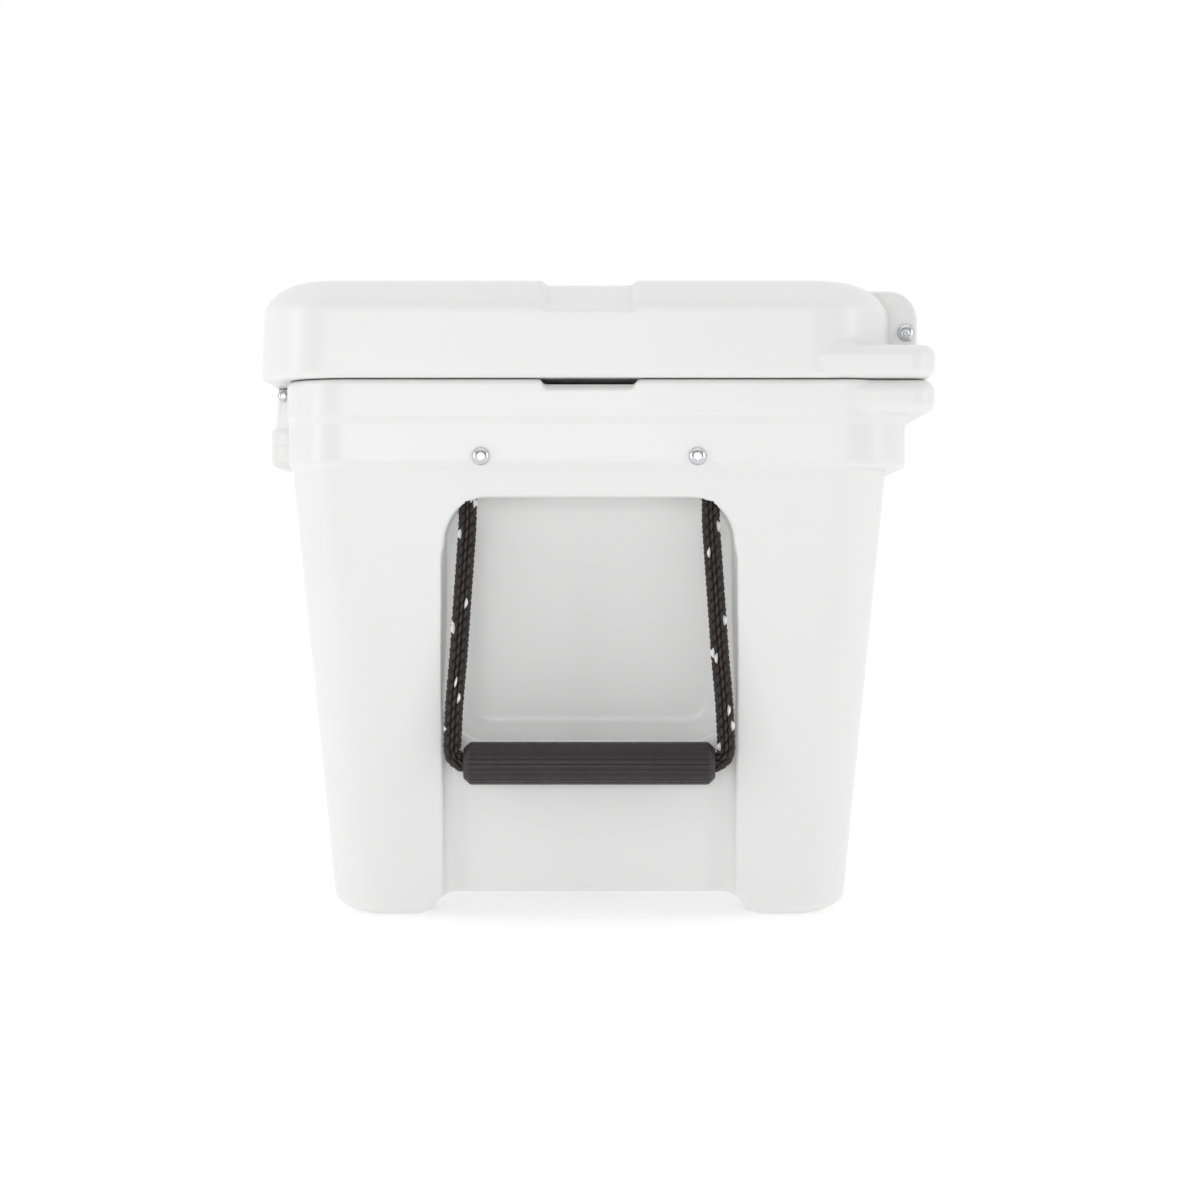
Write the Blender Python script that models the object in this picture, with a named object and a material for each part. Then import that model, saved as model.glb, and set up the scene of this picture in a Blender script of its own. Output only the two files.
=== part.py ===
"""Rotomoulded cooler chest with rope handles, rubber latches and an integrated rear hinge.

The chest stands on z = 0, centred on the origin.  +X runs along its length, -Y is the front
with the latches, +Y the rear with the hinges.  All lengths are in metres.
"""

import math

import bmesh
import bpy
from mathutils import Matrix, Vector

# ---- overall size -------------------------------------------------------------------------
LENGTH = 0.654
DEPTH = 0.410
HEIGHT = 0.388
GAP = 0.0003
SKIN = 0.005
ARC_STEPS = 5
POCKET_STEPS = 4

# ---- body ---------------------------------------------------------------------------------
BODY_TOP = 0.3255
BODY_MID_Y = -0.0042
BAND_BASE = 0.270
WALL_HALF_X = 0.319
WALL_HALF_Y = 0.1806
WALL_DRAFT = 0.1025
WALL_CORNER = 0.033
BAND_TOP = 0.302
BAND_HALF_X = 0.322
BAND_FRONT = -0.1885
BAND_REAR = 0.190
RIM_HALF_X = 0.323
RIM_FRONT = -0.190
RIM_CORNER = 0.040
RIM_EDGE = 0.005
FOOT_BASE = 0.0006
FOOT_ROUND_WIDE = 0.028
FOOT_ROUND_HIGH = 0.020
BELLY = 0.016
BELLY_HALF_Y = 0.092
BELLY_HALF_X = 0.200
BELLY_SLOPE = 0.006
FLANGE_BASE = 0.3046
FLANGE_REAR = 0.205
FLANGE_CORNER = 0.014
FLANGE_EDGE = 0.0075

# ---- tub (the cold space) -----------------------------------------------------------------
TUB_HALF_X = 0.2335
TUB_HALF_Y = 0.1225
TUB_FLOOR = 0.058
TUB_CORNER = 0.030
TUB_FILLET = 0.020
TUB_DRAFT = 0.035

# ---- end pockets, strap slots and handles ---------------------------------------------------
POCKET_HALF_Y = 0.0875
POCKET_TOP = 0.255
POCKET_FLOOR = 0.107
POCKET_DEPTH = 0.038
POCKET_CORNER = 0.026
POCKET_BACK_ROUND = 0.015
POCKET_SCOOP = 0.017
POCKET_DRAFT = 0.06
LIP = 0.003
CHANNEL_DEPTH = 0.008
CHANNEL_HALF_Y = 0.089
NOTCH_HALF_Y = 0.027
NOTCH_FLARE = 0.0023
NOTCH_FLOOR = 0.3205
NOTCH_REACH = 0.045
SLOT_X = 0.297
SLOT_HALF_X = 0.005
ROPE_X = 0.309
ROPE_RADIUS = 0.00555
ROPE_TUNNEL_RADIUS = 0.0061
ROPE_BEND = 0.0085
HANDLE_SCREW_Y = 0.0653
HANDLE_SCREW_Z = 0.2795
HANDLE_PIVOT_Z = 0.247
GRIP_Z = 0.0941
GRIP_RADIUS = 0.013
GRIP_LENGTH = 0.1524
GRIP_CHAMFER = 0.0043
GRIP_BORE = ROPE_RADIUS + 0.0006
GRIP_FLARE = 0.0018
ROPE_END_LINE = ((0.0736, 0.249), (0.0733, 0.258), (0.0705, 0.268), (0.0668, 0.277), (0.0645, 0.289))
ROPE_HANGING_LINE = (
    (0.0738, 0.2380), (0.0750, 0.2200), (0.0771, 0.1900), (0.0792, 0.1600), (0.0816, 0.1320),
    (0.0827, 0.1120),
)
ROPE_GRIP_LINE = (0.0680, 0.0550, 0.0300)

# ---- lid ----------------------------------------------------------------------------------
LID_BASE = 0.3275
LID_REAR = 0.180
LID_CORNER_FRONT = 0.047
LID_CORNER_REAR = 0.052
LID_DRAFT = 0.035
LID_LOW_EDGE = 0.005
LID_TOP_WIDE = 0.034
LID_TOP_HIGH = 0.021
SHELF_TOP = 0.347
SHELF_CORNER = 0.015
SHELF_EDGE = 0.007
PLUG_BASE = 0.3175
PLUG_CLEARANCE = 0.004
GASKET_INNER = 0.006
GASKET_WIDTH = 0.010
GASKET_DEEP = 0.0045
GROOVE_HALF_Y = 0.0285
GROOVE_DEPTH = 0.003
GROOVE_REACH = 0.085
GROOVE_END_Z = 0.366

# ---- hinges -------------------------------------------------------------------------------
HINGE_X = 0.229
HINGE_Y = 0.192
HINGE_Z = 0.3585
HINGE_HALF_WIDTH = 0.033
TOWER_WIDTH = 0.016
TOWER_REAR = 0.199
TOWER_TOP = 0.3845
TOWER_ROUND = 0.018
KNUCKLE_RADIUS = 0.0085
HINGE_ROD_RADIUS = 0.004

# ---- latches ------------------------------------------------------------------------------
LATCH_X = 0.190
LATCH_Y = -0.1975
LATCH_Z = 0.3215
LATCH_BOSS_HALF = 0.035
LATCH_PAD_FRONT = -0.205
LATCH_BOSS_OUTLINE = (
    (-0.185, 0.2715), (-0.196, 0.2725), (-0.2025, 0.2745), (LATCH_PAD_FRONT, 0.2790),
    (LATCH_PAD_FRONT, 0.2985), (-0.2042, 0.3010), (-0.2022, 0.3030), (-0.2012, 0.3080),
    (-0.2003, 0.3195), (-0.1985, 0.3235), (-0.1950, BODY_TOP - GAP), (-0.185, BODY_TOP - GAP),
)
LATCH_SLOT_HALF = 0.0195
LATCH_STRAP_HALF = 0.018
LATCH_HEAD_HALF = 0.027
LATCH_BARREL_RADIUS = 0.0062
LATCH_HEAD_BASE = 0.3515
LATCH_HEAD_TOP = 0.371
LATCH_ROD_RADIUS = 0.003
KEEPER_Z = 0.350

# ---- feet, ports and drain ------------------------------------------------------------------
FOOT_X = 0.233
FOOT_Y = 0.1085
FOOT_HALF = (0.023, 0.012)
FOOT_CORNER = 0.008
FOOT_THICK = 0.0036
BODY_PORT_X = 0.140
BODY_PORT_RADIUS = 0.012
LID_PORT_X = 0.120
LID_PORT_RADIUS = 0.009
DRAIN_Z = 0.062
DRAIN_BORE = 0.0090
DRAIN_TUBE = 0.0125
DRAIN_FLANGE = 0.019
DRAIN_SEAT_X = 0.2874
SUMP_REACH = 0.026
SUMP_FLOOR = 0.041
SUMP_HALF_Y = 0.021

WHITE = ("polyethylene_white", (0.86, 0.86, 0.855), 0.42, 0.0)
FOAM = ("polyurethane_foam", (0.83, 0.74, 0.50), 0.95, 0.0)
RUBBER_DARK = ("rubber_dark", (0.055, 0.045, 0.042), 0.62, 0.0)
RUBBER_GREY = ("rubber_grey", (0.30, 0.30, 0.31), 0.8, 0.0)
ROPE = ("rope_dark", (0.03, 0.026, 0.024), 0.9, 0.0)
STEEL = ("stainless_steel", (0.74, 0.74, 0.75), 0.25, 1.0)
SEAL = ("seal_rubber", (0.62, 0.62, 0.61), 0.7, 0.0)


# ---- small tools --------------------------------------------------------------------------
def clear_scene():
    for obj in list(bpy.data.objects):
        bpy.data.objects.remove(obj, do_unlink=True)


def material(spec):
    name, colour, roughness, metallic = spec
    found = bpy.data.materials.get(name)
    if found:
        return found
    made = bpy.data.materials.new(name)
    made.use_nodes = True
    shader = made.node_tree.nodes["Principled BSDF"]
    shader.inputs["Base Color"].default_value = (*colour, 1.0)
    shader.inputs["Roughness"].default_value = roughness
    shader.inputs["Metallic"].default_value = metallic
    made.diffuse_color = (*colour, 1.0)
    return made


def make_object(name, mesh_builder, spec=None):
    """A mesh object, or a hidden cutter where no material is given."""
    bmesh.ops.recalc_face_normals(mesh_builder, faces=mesh_builder.faces[:])
    mesh = bpy.data.meshes.new(name)
    mesh_builder.to_mesh(mesh)
    mesh_builder.free()
    obj = bpy.data.objects.new(name, mesh)
    bpy.context.scene.collection.objects.link(obj)
    if spec:
        mesh.materials.append(material(spec))
        mesh.shade_smooth()
        mesh.set_sharp_from_angle(angle=math.radians(35))
    else:
        hide(obj)
    return obj


def hide(obj):
    obj.hide_render = True
    obj.display_type = "WIRE"


def combine(target, tool, operation):
    hide(tool)
    step = target.modifiers.new(tool.name, "BOOLEAN")
    step.operation = operation
    step.solver = "EXACT"
    step.object = tool
    return target


def cut(target, *tools):
    for tool in tools:
        combine(target, tool, "DIFFERENCE")
    return target


def join(target, *tools):
    for tool in tools:
        combine(target, tool, "UNION")
    return target


def pivot(name, location):
    """An empty on a joint's axis, which the moving pieces hang from."""
    empty = bpy.data.objects.new(name, None)
    empty.location = location
    empty.empty_display_size = 0.02
    bpy.context.scene.collection.objects.link(empty)
    return empty


def hang_on(empty, *pieces):
    for piece in pieces:
        piece.parent = empty
        piece.matrix_parent_inverse = Matrix.Translation(empty.location).inverted()


def loft(rings):
    """A closed solid through rings that all have the same number of points."""
    bm = bmesh.new()
    rows = [[bm.verts.new(point) for point in ring] for ring in rings]
    count = len(rows[0])
    for low, high in zip(rows, rows[1:]):
        for i in range(count):
            j = (i + 1) % count
            bm.faces.new((low[i], low[j], high[j], high[i]))
    bm.faces.new(list(reversed(rows[0])))
    bm.faces.new(rows[-1])
    return bm


def rounded_outline(low_u, high_u, low_v, high_v, low_radius, high_radius, steps=ARC_STEPS):
    """A rounded rectangle; low_radius rounds the two corners at low_v, high_radius the others."""
    corners = (
        (high_u - high_radius, high_v - high_radius, high_radius, 0),
        (low_u + high_radius, high_v - high_radius, high_radius, 90),
        (low_u + low_radius, low_v + low_radius, low_radius, 180),
        (high_u - low_radius, low_v + low_radius, low_radius, 270),
    )
    outline = []
    for centre_u, centre_v, radius, start in corners:
        for i in range(steps + 1):
            angle = math.radians(start + 90 * i / steps)
            outline.append((centre_u + radius * math.cos(angle), centre_v + radius * math.sin(angle)))
    return outline


def plan_ring(z, half_x, front, rear, front_radius, rear_radius=None, steps=ARC_STEPS):
    rear_radius = front_radius if rear_radius is None else rear_radius
    outline = rounded_outline(-half_x, half_x, front, rear, front_radius, rear_radius, steps)
    return [Vector((x, y, z)) for x, y in outline]


def quarter(steps):
    """Angles of a quarter turn, both ends included."""
    return [0.5 * math.pi * i / steps for i in range(steps + 1)]


def prism(outline, start_x, end_x):
    """An outline in the YZ plane, extruded along X."""
    return loft([[Vector((x, y, z)) for y, z in outline] for x in (start_x, end_x)])


def block(low, high):
    outline = [(low[1], low[2]), (high[1], low[2]), (high[1], high[2]), (low[1], high[2])]
    return prism(outline, low[0], high[0])


def turned(profile, centre, direction, segments=16):
    """A solid turned round an axis: profile holds (radius, distance along the axis) pairs."""
    turn = Vector((0, 0, 1)).rotation_difference(Vector(direction)).to_matrix()
    bm = bmesh.new()
    rows = []
    for radius, along in profile:
        if radius == 0:
            rows.append([bm.verts.new(Vector(centre) + turn @ Vector((0, 0, along)))])
            continue
        row = []
        for i in range(segments):
            angle = 2 * math.pi * i / segments
            spoke = Vector((radius * math.cos(angle), radius * math.sin(angle), along))
            row.append(bm.verts.new(Vector(centre) + turn @ spoke))
        rows.append(row)
    closed = rows + ([rows[0]] if len(rows[0]) > 1 else [])
    for low, high in zip(closed, closed[1:]):
        for i in range(segments):
            j = (i + 1) % segments
            corners = [low[i % len(low)], low[j % len(low)], high[j % len(high)], high[i % len(high)]]
            unique = list(dict.fromkeys(corners))
            if len(unique) > 2:
                bm.faces.new(unique)
    return bm


def bore(radius, start, end, segments=16):
    axis = Vector(end) - Vector(start)
    profile = [(0, 0), (radius, 0), (radius, axis.length), (0, axis.length)]
    return turned(profile, start, axis.normalized(), segments)


def tube(points, radius, sides=8):
    """A capped tube along a line of points."""
    path = [Vector(point) for point in points]
    side = Vector((1, 0, 0))
    rings = []
    for i, point in enumerate(path):
        ahead = (path[min(i + 1, len(path) - 1)] - path[max(i - 1, 0)]).normalized()
        side = (side - ahead * side.dot(ahead)).normalized()
        up = ahead.cross(side)
        angles = [2 * math.pi * k / sides for k in range(sides)]
        rings.append([point + radius * (side * math.cos(a) + up * math.sin(a)) for a in angles])
    return loft(rings)


def smooth_route(points, spacing):
    """Evenly spaced points on a Catmull-Rom curve through the given ones."""
    knots = [Vector(p) for p in points]
    knots = [2 * knots[0] - knots[1], *knots, 2 * knots[-1] - knots[-2]]
    fine = []
    for a, b, c, d in zip(knots, knots[1:], knots[2:], knots[3:]):
        for i in range(24):
            t = i / 24
            fine.append(
                0.5 * (2 * b + (c - a) * t + (2 * a - 5 * b + 4 * c - d) * t**2
                       + (3 * b - a - 3 * c + d) * t**3)
            )
    fine.append(knots[-2])
    total = sum((q - p).length for p, q in zip(fine, fine[1:]))
    count = max(2, round(total / spacing))
    picked, walked, wanted = [fine[0]], 0.0, 1
    for p, q in zip(fine, fine[1:]):
        step = (q - p).length
        while wanted < count and walked + step >= wanted * total / count:
            picked.append(p.lerp(q, (wanted * total / count - walked) / step))
            wanted += 1
        walked += step
    picked.append(fine[-1])
    return picked


def screw(name, face_centre, outward, head_radius, shank_radius, shank_length):
    """A domed screw whose head sits on a face, with a round socket in the head."""
    height = 0.58 * head_radius
    socket = 0.36 * head_radius
    low, rise = 0.25 * height, 0.75 * height
    dome = [(head_radius * math.cos(a), low + rise * math.sin(a)) for a in quarter(2)[:-1]]
    rim_height = low + rise * math.sqrt(1 - (socket / head_radius) ** 2)
    profile = [(0, -shank_length), (shank_radius, -shank_length), (shank_radius, 0)]
    profile += [(head_radius, 0), *dome, (socket, rim_height), (socket, 0.3 * height), (0, 0.3 * height)]
    seat = Vector(face_centre) + GAP * Vector(outward)
    return make_object(name, turned(profile, seat, outward, 12), STEEL)


# ---- body ---------------------------------------------------------------------------------
def wall_half_x(z):
    return WALL_HALF_X - WALL_DRAFT * (BAND_BASE - z)


def body_ring(z, half_x, front, rear, radius, inset):
    return plan_ring(z, half_x - inset, front + inset, rear - inset, max(radius - inset, 0.006))


def wall_ring(z, inset):
    shrink = WALL_DRAFT * (BAND_BASE - z)
    return body_ring(
        z,
        WALL_HALF_X - shrink,
        BODY_MID_Y - WALL_HALF_Y + shrink,
        BODY_MID_Y + WALL_HALF_Y - shrink,
        WALL_CORNER,
        inset,
    )


def body_envelope(inset):
    """The outside of the body without its flange, cut-outs and bosses."""
    rings = []
    for angle in quarter(4):
        z = FOOT_BASE + FOOT_ROUND_HIGH * (1 - math.cos(angle)) + inset
        rings.append(wall_ring(z, inset + FOOT_ROUND_WIDE * (1 - math.sin(angle))))
    step = 0.0035
    rings.append(wall_ring(BAND_BASE + inset - step / 3, inset))
    rings.append(body_ring(BAND_BASE + inset + step, BAND_HALF_X, BAND_FRONT, BAND_REAR, RIM_CORNER, inset))
    rings.append(body_ring(BAND_TOP, BAND_HALF_X, BAND_FRONT, BAND_REAR, RIM_CORNER, inset))
    rings.append(body_ring(BAND_TOP + 0.001, RIM_HALF_X, RIM_FRONT, BAND_REAR, RIM_CORNER, inset))
    for angle in quarter(3):
        z = BODY_TOP - inset - RIM_EDGE * (1 - math.sin(angle))
        edge = inset + RIM_EDGE * (1 - math.cos(angle))
        rings.append(body_ring(z, RIM_HALF_X, RIM_FRONT, BAND_REAR, RIM_CORNER, edge))
    return loft(rings)


def flange():
    rings = []
    for angle in quarter(3):
        shrink = FLANGE_EDGE * (1 - math.sin(angle))
        rings.append((FLANGE_BASE + FLANGE_EDGE * (1 - math.cos(angle)), shrink))
    for angle in quarter(3):
        shrink = FLANGE_EDGE * (1 - math.cos(angle))
        rings.append((BODY_TOP - FLANGE_EDGE * (1 - math.sin(angle)), shrink))
    buried = 0.0004
    return loft([
        plan_ring(z, RIM_HALF_X - buried - s, 0.135, FLANGE_REAR - s, 0.002, FLANGE_CORNER - 0.9 * s)
        for z, s in rings
    ])


def tub(grow):
    """The cold space, open at the top; grown by a wall thickness it bounds the foam."""
    middle = BODY_MID_Y
    rings = []
    for angle in quarter(4):
        shrink = TUB_FILLET * (1 - math.sin(angle))
        z = TUB_FLOOR - grow + TUB_FILLET * (1 - math.cos(angle))
        rings.append((z, shrink))
    top = BODY_TOP + 0.02
    rings.append((top, 0.0))
    made = []
    for z, shrink in rings:
        narrow = TUB_DRAFT * (BODY_TOP - z) + shrink - grow
        made.append(plan_ring(
            z, TUB_HALF_X - narrow, middle - TUB_HALF_Y + narrow, middle + TUB_HALF_Y - narrow,
            TUB_CORNER - shrink + grow,
        ))
    return loft(made)


def sump(grow):
    """A low spot at the drain end of the floor, so that the tub empties."""
    end = TUB_HALF_X - TUB_DRAFT * (BODY_TOP - DRAIN_Z)
    low = (-end - 0.004 - grow, BODY_MID_Y - SUMP_HALF_Y - grow, SUMP_FLOOR - grow)
    high = (-end + SUMP_REACH + grow, BODY_MID_Y + SUMP_HALF_Y + grow, SUMP_FLOOR + 0.040 + grow)
    return block(low, high)


def belly_channels(grow):
    """Two crossing channels under the floor, which leave a foot at each corner."""
    tall = BELLY + grow
    cutters = []
    for name, half, reach, along_x in (
        ("belly_x", BELLY_HALF_Y, LENGTH, True),
        ("belly_y", BELLY_HALF_X, DEPTH, False),
    ):
        half += grow
        outline = [(-half - BELLY_SLOPE, -0.02), (half + BELLY_SLOPE, -0.02)]
        outline += [(half + BELLY_SLOPE, 0.0), (half, tall - 0.004), (half - 0.004, tall)]
        outline += [(-half + 0.004, tall), (-half, tall - 0.004), (-half - BELLY_SLOPE, 0.0)]
        if along_x:
            rings = [[Vector((x, y + BODY_MID_Y, z)) for y, z in outline] for x in (-reach, reach)]
        else:
            rings = [[Vector((x, y, z)) for x, z in outline] for y in (-reach, reach)]
        cutters.append(make_object(f"cut_{name}_{round(grow * 1e4)}", loft(rings)))
    return cutters


def pocket_ring(side, depth, half_y, low_z, high_z, low_radius, high_radius):
    """A rounded opening drawn parallel to the drafted end wall, a given depth inside it."""
    outline = rounded_outline(
        BODY_MID_Y - half_y, BODY_MID_Y + half_y, low_z, high_z, low_radius, high_radius, POCKET_STEPS)
    return [Vector((side * (wall_half_x(z) - depth), y, z)) for y, z in outline]


def pocket(side, grow):
    """The deep part of an end pocket: flared lip, drafted sides, scooped floor, round back."""
    lip = 0.0 if grow else LIP
    rings = [(-0.012, lip, 0.0)]
    for angle in quarter(2) if lip else []:
        rings.append((lip * (1 - math.cos(angle)), lip * (1 - math.sin(angle)), 0.0))
    back = POCKET_DEPTH + grow
    for angle in quarter(3):
        depth = back - POCKET_BACK_ROUND + POCKET_BACK_ROUND * math.sin(angle)
        rings.append((depth, -POCKET_BACK_ROUND * (1 - math.cos(angle)), math.sin(angle)))
    made = []
    for depth, flare, scoop in rings:
        half_y = POCKET_HALF_Y + flare + grow - POCKET_DRAFT * max(depth, 0)
        high = POCKET_TOP + flare + grow
        low = POCKET_FLOOR - grow + POCKET_SCOOP * scoop
        made.append(pocket_ring(side, depth, half_y, low, high, 0.008, POCKET_CORNER + flare + grow))
    return loft(made)


def channel(side, grow):
    """The shallow recess that runs from the pocket down to the underside."""
    lip = 0.0 if grow else LIP
    rings = [(-0.012, lip), (0.0, lip), (0.0012, 0.0), (CHANNEL_DEPTH + grow, -0.004)]
    return loft([
        pocket_ring(side, depth, CHANNEL_HALF_Y + flare + grow, -0.03, 0.235 + flare, 0.004, 0.02)
        for depth, flare in rings
    ])


def strap_notch(side):
    """The flared notch in the rim where a tie-down strap goes in under the lid."""
    wide, above = NOTCH_HALF_Y + NOTCH_FLARE, BODY_TOP + 0.004
    section = [
        (BODY_MID_Y + NOTCH_HALF_Y, NOTCH_FLOOR), (BODY_MID_Y + wide, above),
        (BODY_MID_Y - wide, above), (BODY_MID_Y - NOTCH_HALF_Y, NOTCH_FLOOR),
    ]
    ends = sorted((side * (RIM_HALF_X - NOTCH_REACH), side * (RIM_HALF_X + 0.02)))
    return prism(section, *ends)


def strap_slot(side, grow):
    """The slot that lets a tie-down strap drop from the rim notch into the pocket."""
    ends = sorted((side * (SLOT_X - SLOT_HALF_X - grow), side * (SLOT_X + SLOT_HALF_X + grow)))
    low = (ends[0], BODY_MID_Y - NOTCH_HALF_Y - grow, POCKET_TOP - 0.012)
    high = (ends[1], BODY_MID_Y + NOTCH_HALF_Y + grow, NOTCH_FLOOR + 0.002 + grow)
    return block(low, high)


def rope_end_route(side, hand):
    """Where one rope end runs inside its tunnel, from the pocket ceiling up past the screw."""
    x = side * ROPE_X
    return [Vector((x, BODY_MID_Y + hand * y, z)) for y, z in ROPE_END_LINE]


def rope_tunnel(side, hand):
    route = rope_end_route(side, hand)
    first = route[0] + 2.0 * (route[0] - route[1])
    last = route[-1] + 0.2 * (route[-1] - route[-2])
    return tube(smooth_route([first, *route, last], 0.012), ROPE_TUNNEL_RADIUS)


def rope_end_wall(side, hand):
    """The solid material left round a rope tunnel and its screw."""
    margin = ROPE_TUNNEL_RADIUS + SKIN
    route = rope_end_route(side, hand)
    near, far = sorted(abs(p.y - BODY_MID_Y) for p in (route[0], route[-1]))
    y_ends = sorted((BODY_MID_Y + hand * (near - margin), BODY_MID_Y + hand * (far + margin)))
    x_ends = sorted((side * (ROPE_X - margin), side * (RIM_HALF_X + 0.01)))
    low = (x_ends[0], y_ends[0], route[0].z - margin)
    return block(low, (x_ends[1], y_ends[1], route[-1].z + margin))


def drain_hole(grow):
    start = (-LENGTH / 2 - grow, BODY_MID_Y, DRAIN_Z)
    end = (-TUB_HALF_X + 0.03 + grow, BODY_MID_Y, DRAIN_Z)
    return bore(DRAIN_TUBE + GAP + grow, start, end, 14 if grow else 20)


def drain_seat(grow):
    """The flat spot that the drain fitting's flange sits on."""
    start = (-LENGTH / 2 - 2 * grow, BODY_MID_Y, DRAIN_Z)
    end = (-DRAIN_SEAT_X + grow, BODY_MID_Y, DRAIN_Z)
    return bore(DRAIN_FLANGE + 0.002 + grow, start, end, 16 if grow else 24)


def foam_space(name, inset, spec=None):
    """The space between the outer skin and the tub skin."""
    space = make_object(name, body_envelope(inset), spec)
    grow = inset
    cut(space, *belly_channels(grow))
    cut(space, make_object(f"{name}_tub", tub(grow)), make_object(f"{name}_sump", sump(grow)))
    for side in (-1, 1):
        end = "right" if side > 0 else "left"
        cut(
            space,
            make_object(f"{name}_pocket_{end}", pocket(side, grow)),
            make_object(f"{name}_channel_{end}", channel(side, grow)),
            make_object(f"{name}_slot_{end}", strap_slot(side, grow)),
        )
        for hand in (-1, 1):
            cut(space, make_object(f"{name}_rope_{end}_{hand + 1}", rope_end_wall(side, hand)))
    cut(space, make_object(f"{name}_drain", drain_hole(grow)), make_object(f"{name}_seat", drain_seat(grow)))
    return space


def latch_boss(side):
    """Rails and pad that carry one latch pin on the front of the body."""
    middle = side * LATCH_X
    half = LATCH_BOSS_HALF
    edge = 0.003
    back = LATCH_BOSS_OUTLINE[0][0]
    rings = []
    for x, shrink in ((-half, edge), (-half + edge, 0), (half - edge, 0), (half, edge)):
        rings.append([Vector((middle + x, min(y + shrink, back), z)) for y, z in LATCH_BOSS_OUTLINE])
    return loft(rings)


def latch_slot(side):
    middle = side * LATCH_X
    half = LATCH_SLOT_HALF
    return block((middle - half, -0.215, 0.3040), (middle + half, -0.1907, 0.335))


def knuckle(side):
    """The body's half of a hinge: a rounded lug between the two towers of the lid."""
    outline = [(HINGE_Y + KNUCKLE_RADIUS, 0.314), (HINGE_Y + KNUCKLE_RADIUS, HINGE_Z)]
    for i in range(1, 8):
        angle = math.pi * i / 8
        across, up = KNUCKLE_RADIUS * math.cos(angle), KNUCKLE_RADIUS * math.sin(angle)
        outline.append((HINGE_Y + across, HINGE_Z + up))
    outline += [(HINGE_Y - KNUCKLE_RADIUS, HINGE_Z), (HINGE_Y - KNUCKLE_RADIUS, 0.314)]
    half = HINGE_HALF_WIDTH - TOWER_WIDTH - 0.0005
    return prism(outline, side * HINGE_X - half, side * HINGE_X + half)


def along_x(radius, centre, half, segments=16):
    x, y, z = centre
    return bore(radius, (x - half, y, z), (x + half, y, z), segments)


def foot_ring(side, hand, z, margin):
    outline = rounded_outline(
        side * FOOT_X - FOOT_HALF[0] - margin, side * FOOT_X + FOOT_HALF[0] + margin,
        BODY_MID_Y + hand * FOOT_Y - FOOT_HALF[1] - margin,
        BODY_MID_Y + hand * FOOT_Y + FOOT_HALF[1] + margin,
        FOOT_CORNER, FOOT_CORNER, 4)
    return [Vector((x, y, z)) for x, y in outline]


def make_body():
    shell = make_object("body_shell", body_envelope(0.0), WHITE)
    join(shell, make_object("add_flange", flange()))
    for side in (-1, 1):
        end = "right" if side > 0 else "left"
        join(shell, make_object(f"add_latch_boss_{end}", latch_boss(side)))
        join(shell, make_object(f"add_knuckle_{end}", knuckle(side)))
    cut(shell, *belly_channels(0.0))
    cut(shell, make_object("cut_tub", tub(0.0)), make_object("cut_sump", sump(0.0)))
    cut(shell, make_object("cut_drain", drain_hole(0.0)), make_object("cut_seat", drain_seat(0.0)))
    cut(shell, foam_space("cut_foam", SKIN))
    for side in (-1, 1):
        end = "right" if side > 0 else "left"
        x = side * LATCH_X
        cut(
            shell,
            make_object(f"cut_pocket_{end}", pocket(side, 0.0)),
            make_object(f"cut_channel_{end}", channel(side, 0.0)),
            make_object(f"cut_notch_{end}", strap_notch(side)),
            make_object(f"cut_slot_{end}", strap_slot(side, 0.0)),
            make_object(f"cut_latch_slot_{end}", latch_slot(side)),
            make_object(f"cut_latch_pin_{end}", along_x(
                LATCH_ROD_RADIUS + GAP, (x, LATCH_Y, LATCH_Z), LATCH_BOSS_HALF + 0.005, 12)),
            make_object(f"cut_hinge_pin_{end}", along_x(
                HINGE_ROD_RADIUS + GAP, (side * HINGE_X, HINGE_Y, HINGE_Z), HINGE_HALF_WIDTH)),
            make_object(f"cut_port_{end}", bore(
                BODY_PORT_RADIUS, (side * BODY_PORT_X, BODY_MID_Y, 0.008),
                (side * BODY_PORT_X, BODY_MID_Y, BELLY + SKIN + 0.003))),
        )
        for hand in (-1, 1):
            tag = f"{end}_{'rear' if hand > 0 else 'front'}"
            screw_y = BODY_MID_Y + hand * HANDLE_SCREW_Y
            cut(
                shell,
                make_object(f"cut_tunnel_{tag}", rope_tunnel(side, hand)),
                make_object(f"cut_screw_{tag}", bore(
                    0.0024, (side * 0.330, screw_y, HANDLE_SCREW_Z),
                    (side * 0.3005, screw_y, HANDLE_SCREW_Z), 12)),
                make_object(f"cut_foot_{tag}", loft([
                    foot_ring(side, hand, z, GAP) for z in (-0.004, FOOT_THICK + GAP)])),
            )
    foam_space("body_foam", SKIN + GAP, FOAM)


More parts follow.
